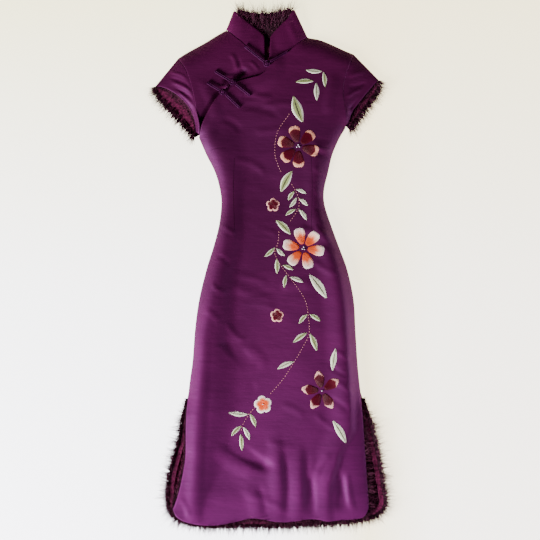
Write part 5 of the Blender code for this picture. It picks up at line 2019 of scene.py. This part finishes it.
class QIPAO_OT_fur(bpy.types.Operator):
    """Make the fur edging of the slits, hem, cuffs and collar"""

    bl_idname = "qipao.fur"
    bl_label = "Fur"

    def execute(self, context):
        front, back = front_trim_path(), back_trim_path()
        bands = edging_ground_material("edging_ground", "X", [(0.36, 0.0), (0.48, 1.0), (0.95, 1.0)])
        dark = fur_ground_material()
        upper, lower = front_trim_sections(), back_trim_sections()
        make_trim("front_fur_ground", front, upper, 6.0, "front_fur_trim", dark)
        make_trim("back_fur_ground", back, lower, LINING_BOTTOM, "back_fur_trim", bands)
        make_trim_hairs(
            "front_hairs", front, upper,
            inner=-5.0, seed=31, density=17, reach=(0.3, 0.75, 0.8), floor=8.0,
        )
        make_trim_hairs(
            "back_hairs", back, lower,
            inner=-2.5, seed=41, density=24, reach=(1.0, 1.0, 1.0), floor=3.0,
        )
        make_cuff_hairs("right_cuff_hairs", RIGHT_SLEEVE, -1, 51)
        make_cuff_hairs("left_cuff_hairs", LEFT_SLEEVE, 1, 56)
        make_collar_hairs()
        make_lining_pile()
        return {"FINISHED"}


class QIPAO_OT_frogs(bpy.types.Operator):
    """Make the three frog closures with their ball knots"""

    bl_idname = "qipao.frogs"
    bl_label = "Frog closures"

    def execute(self, context):
        for number, frog in enumerate(FROGS, 1):
            make_frog(number, frog)
        return {"FINISHED"}


class QIPAO_OT_embroidery(bpy.types.Operator):
    """Make the flowers, leaves, stems and beads on the front"""

    bl_idname = "qipao.embroidery"
    bl_label = "Embroidery"

    def execute(self, context):
        make_flowers()
        make_leaves()
        make_vine()
        make_beads()
        return {"FINISHED"}


class QIPAO_OT_stage(bpy.types.Operator):
    """Make the floor, the lights and the camera"""

    bl_idname = "qipao.stage"
    bl_label = "Stage"

    def execute(self, context):
        make_floor()
        make_lights()
        make_camera()
        return {"FINISHED"}


def make_floor():
    """A pale floor that glows a little, with painted light and shade in its colour: lighter and cooler
    below, darker and warmer above, and a painted warm shadow to the right of the dress.
    """
    bm = bmesh.new()
    bmesh.ops.create_grid(bm, x_segments=2, y_segments=2, size=FLOOR_SIZE)
    mesh = bpy.data.meshes.new("floor")
    bm.to_mesh(mesh)
    bm.free()
    stage = bpy.context.scene.qipao_stage
    made, tree, shader = start_material("pale_floor")
    place = add_node(tree, "ShaderNodeTexCoord").outputs["Object"]
    parts = add_node(tree, "ShaderNodeSeparateXYZ", {0: place})
    upward, along = [remap(tree, parts.outputs[axis], -0.6, 0.6) for axis in "YX"]
    # Painted light and shade: the floor is lighter and cooler past the hem and darker and warmer past
    # the collar.
    lit_below, plain, shaded_above = tuple(stage.floor_painted_light), tuple(stage.floor), tuple(stage.floor_painted_shade)
    level = ramp(tree, upward, [(0.0, lit_below), (0.45, plain), (1.0, shaded_above)])
    # A painted warm shadow on the floor beside the dress's right side, strongest at its edge and
    # fading further out.
    beside = ramp(tree, along, [(0.50, (0, 0, 0)), (0.68, (0.9, 0.9, 0.9)), (0.80, (0.4, 0.4, 0.4))])
    tone = colour_mix(tree, beside, level, tuple(stage.floor_painted_shadow))
    set_shader(tree, shader, Base_Color=tone, Roughness=0.9, Specular_IOR_Level=0.1)
    set_shader(tree, shader, Emission_Color=tone, Emission_Strength=stage.floor_glow)
    add_object("floor", mesh, made)


def aim(thing, place, target):
    """Places a light so that it shines towards a target."""
    direction = np.array(target, float) - np.array(place, float)
    thing.location = place
    tilt = math.atan2(math.hypot(direction[0], direction[1]), -direction[2])
    thing.rotation_euler = (tilt, 0.0, math.atan2(-direction[0], direction[1]))


def add_light(name, settings, power):
    light = bpy.data.lights.new(name, "AREA")
    light.shape = "DISK"
    light.size = settings.size
    light.energy = power
    light.color = settings.colour
    made = bpy.data.objects.new(name, light)
    bpy.context.scene.collection.objects.link(made)
    aim(made, settings.place, (0, 0, 0))


def make_lights():
    stage = bpy.context.scene.qipao_stage
    add_light("key_light", KEY_LIGHT, stage.key_power)
    add_light("fill_light", FILL_LIGHT, stage.fill_power)
    world = bpy.data.worlds.new("Studio")
    world.use_nodes = True
    back = world.node_tree.nodes["Background"]
    back.inputs["Color"].default_value = (0.96, 0.96, 1.0, 1)
    back.inputs["Strength"].default_value = stage.sky
    bpy.context.scene.world = world


def make_camera():
    """Straight above the dress, with a long lens."""
    stage = bpy.context.scene.qipao_stage
    camera = bpy.data.cameras.new("camera")
    camera.lens = stage.lens
    camera.sensor_width = SENSOR_WIDTH
    away = stage.view_width / 2 / (camera.sensor_width / 2 / camera.lens)
    camera.clip_end = 60
    made = bpy.data.objects.new("camera", camera)
    made.location = (0.0, CAMERA_Y, away)
    bpy.context.scene.collection.objects.link(made)
    bpy.context.scene.camera = made


class QIPAO_PT_panel(bpy.types.Panel):
    """The qipao's settings and steps"""

    bl_label = "Qipao"
    bl_space_type = "VIEW_3D"
    bl_region_type = "UI"
    bl_category = "Qipao"

    def draw(self, context):
        scene = context.scene
        cloth_groups = (scene.qipao_cloth, scene.qipao_fur, scene.qipao_thread)
        for group in (*cloth_groups, scene.qipao_colours, scene.qipao_stage):
            box = self.layout.box()
            for name in group.__annotations__:
                box.prop(group, name)
        for step in STEPS:
            self.layout.operator(step.bl_idname)


GROUPS = (QipaoCloth, QipaoFur, QipaoThread, QipaoColours, QipaoStage)
STEPS = (
    QIPAO_OT_back,
    QIPAO_OT_front,
    QIPAO_OT_sleeves,
    QIPAO_OT_collar,
    QIPAO_OT_fur,
    QIPAO_OT_frogs,
    QIPAO_OT_embroidery,
    QIPAO_OT_stage,
)


def register():
    for item in (*GROUPS, *STEPS, QIPAO_PT_panel):
        bpy.utils.register_class(item)
    bpy.types.Scene.qipao_cloth = PointerProperty(type=QipaoCloth)
    bpy.types.Scene.qipao_fur = PointerProperty(type=QipaoFur)
    bpy.types.Scene.qipao_thread = PointerProperty(type=QipaoThread)
    bpy.types.Scene.qipao_colours = PointerProperty(type=QipaoColours)
    bpy.types.Scene.qipao_stage = PointerProperty(type=QipaoStage)


def unregister():
    for name in ("qipao_stage", "qipao_colours", "qipao_thread", "qipao_fur", "qipao_cloth"):
        delattr(bpy.types.Scene, name)
    for item in (QIPAO_PT_panel, *STEPS[::-1], *GROUPS[::-1]):
        bpy.utils.unregister_class(item)


def main():
    register()
    bpy.ops.qipao.back()
    bpy.ops.qipao.front()
    bpy.ops.qipao.sleeves()
    bpy.ops.qipao.collar()
    bpy.ops.qipao.fur()
    bpy.ops.qipao.frogs()
    bpy.ops.qipao.embroidery()
    bpy.ops.qipao.stage()


if __name__ == "__main__":
    main()
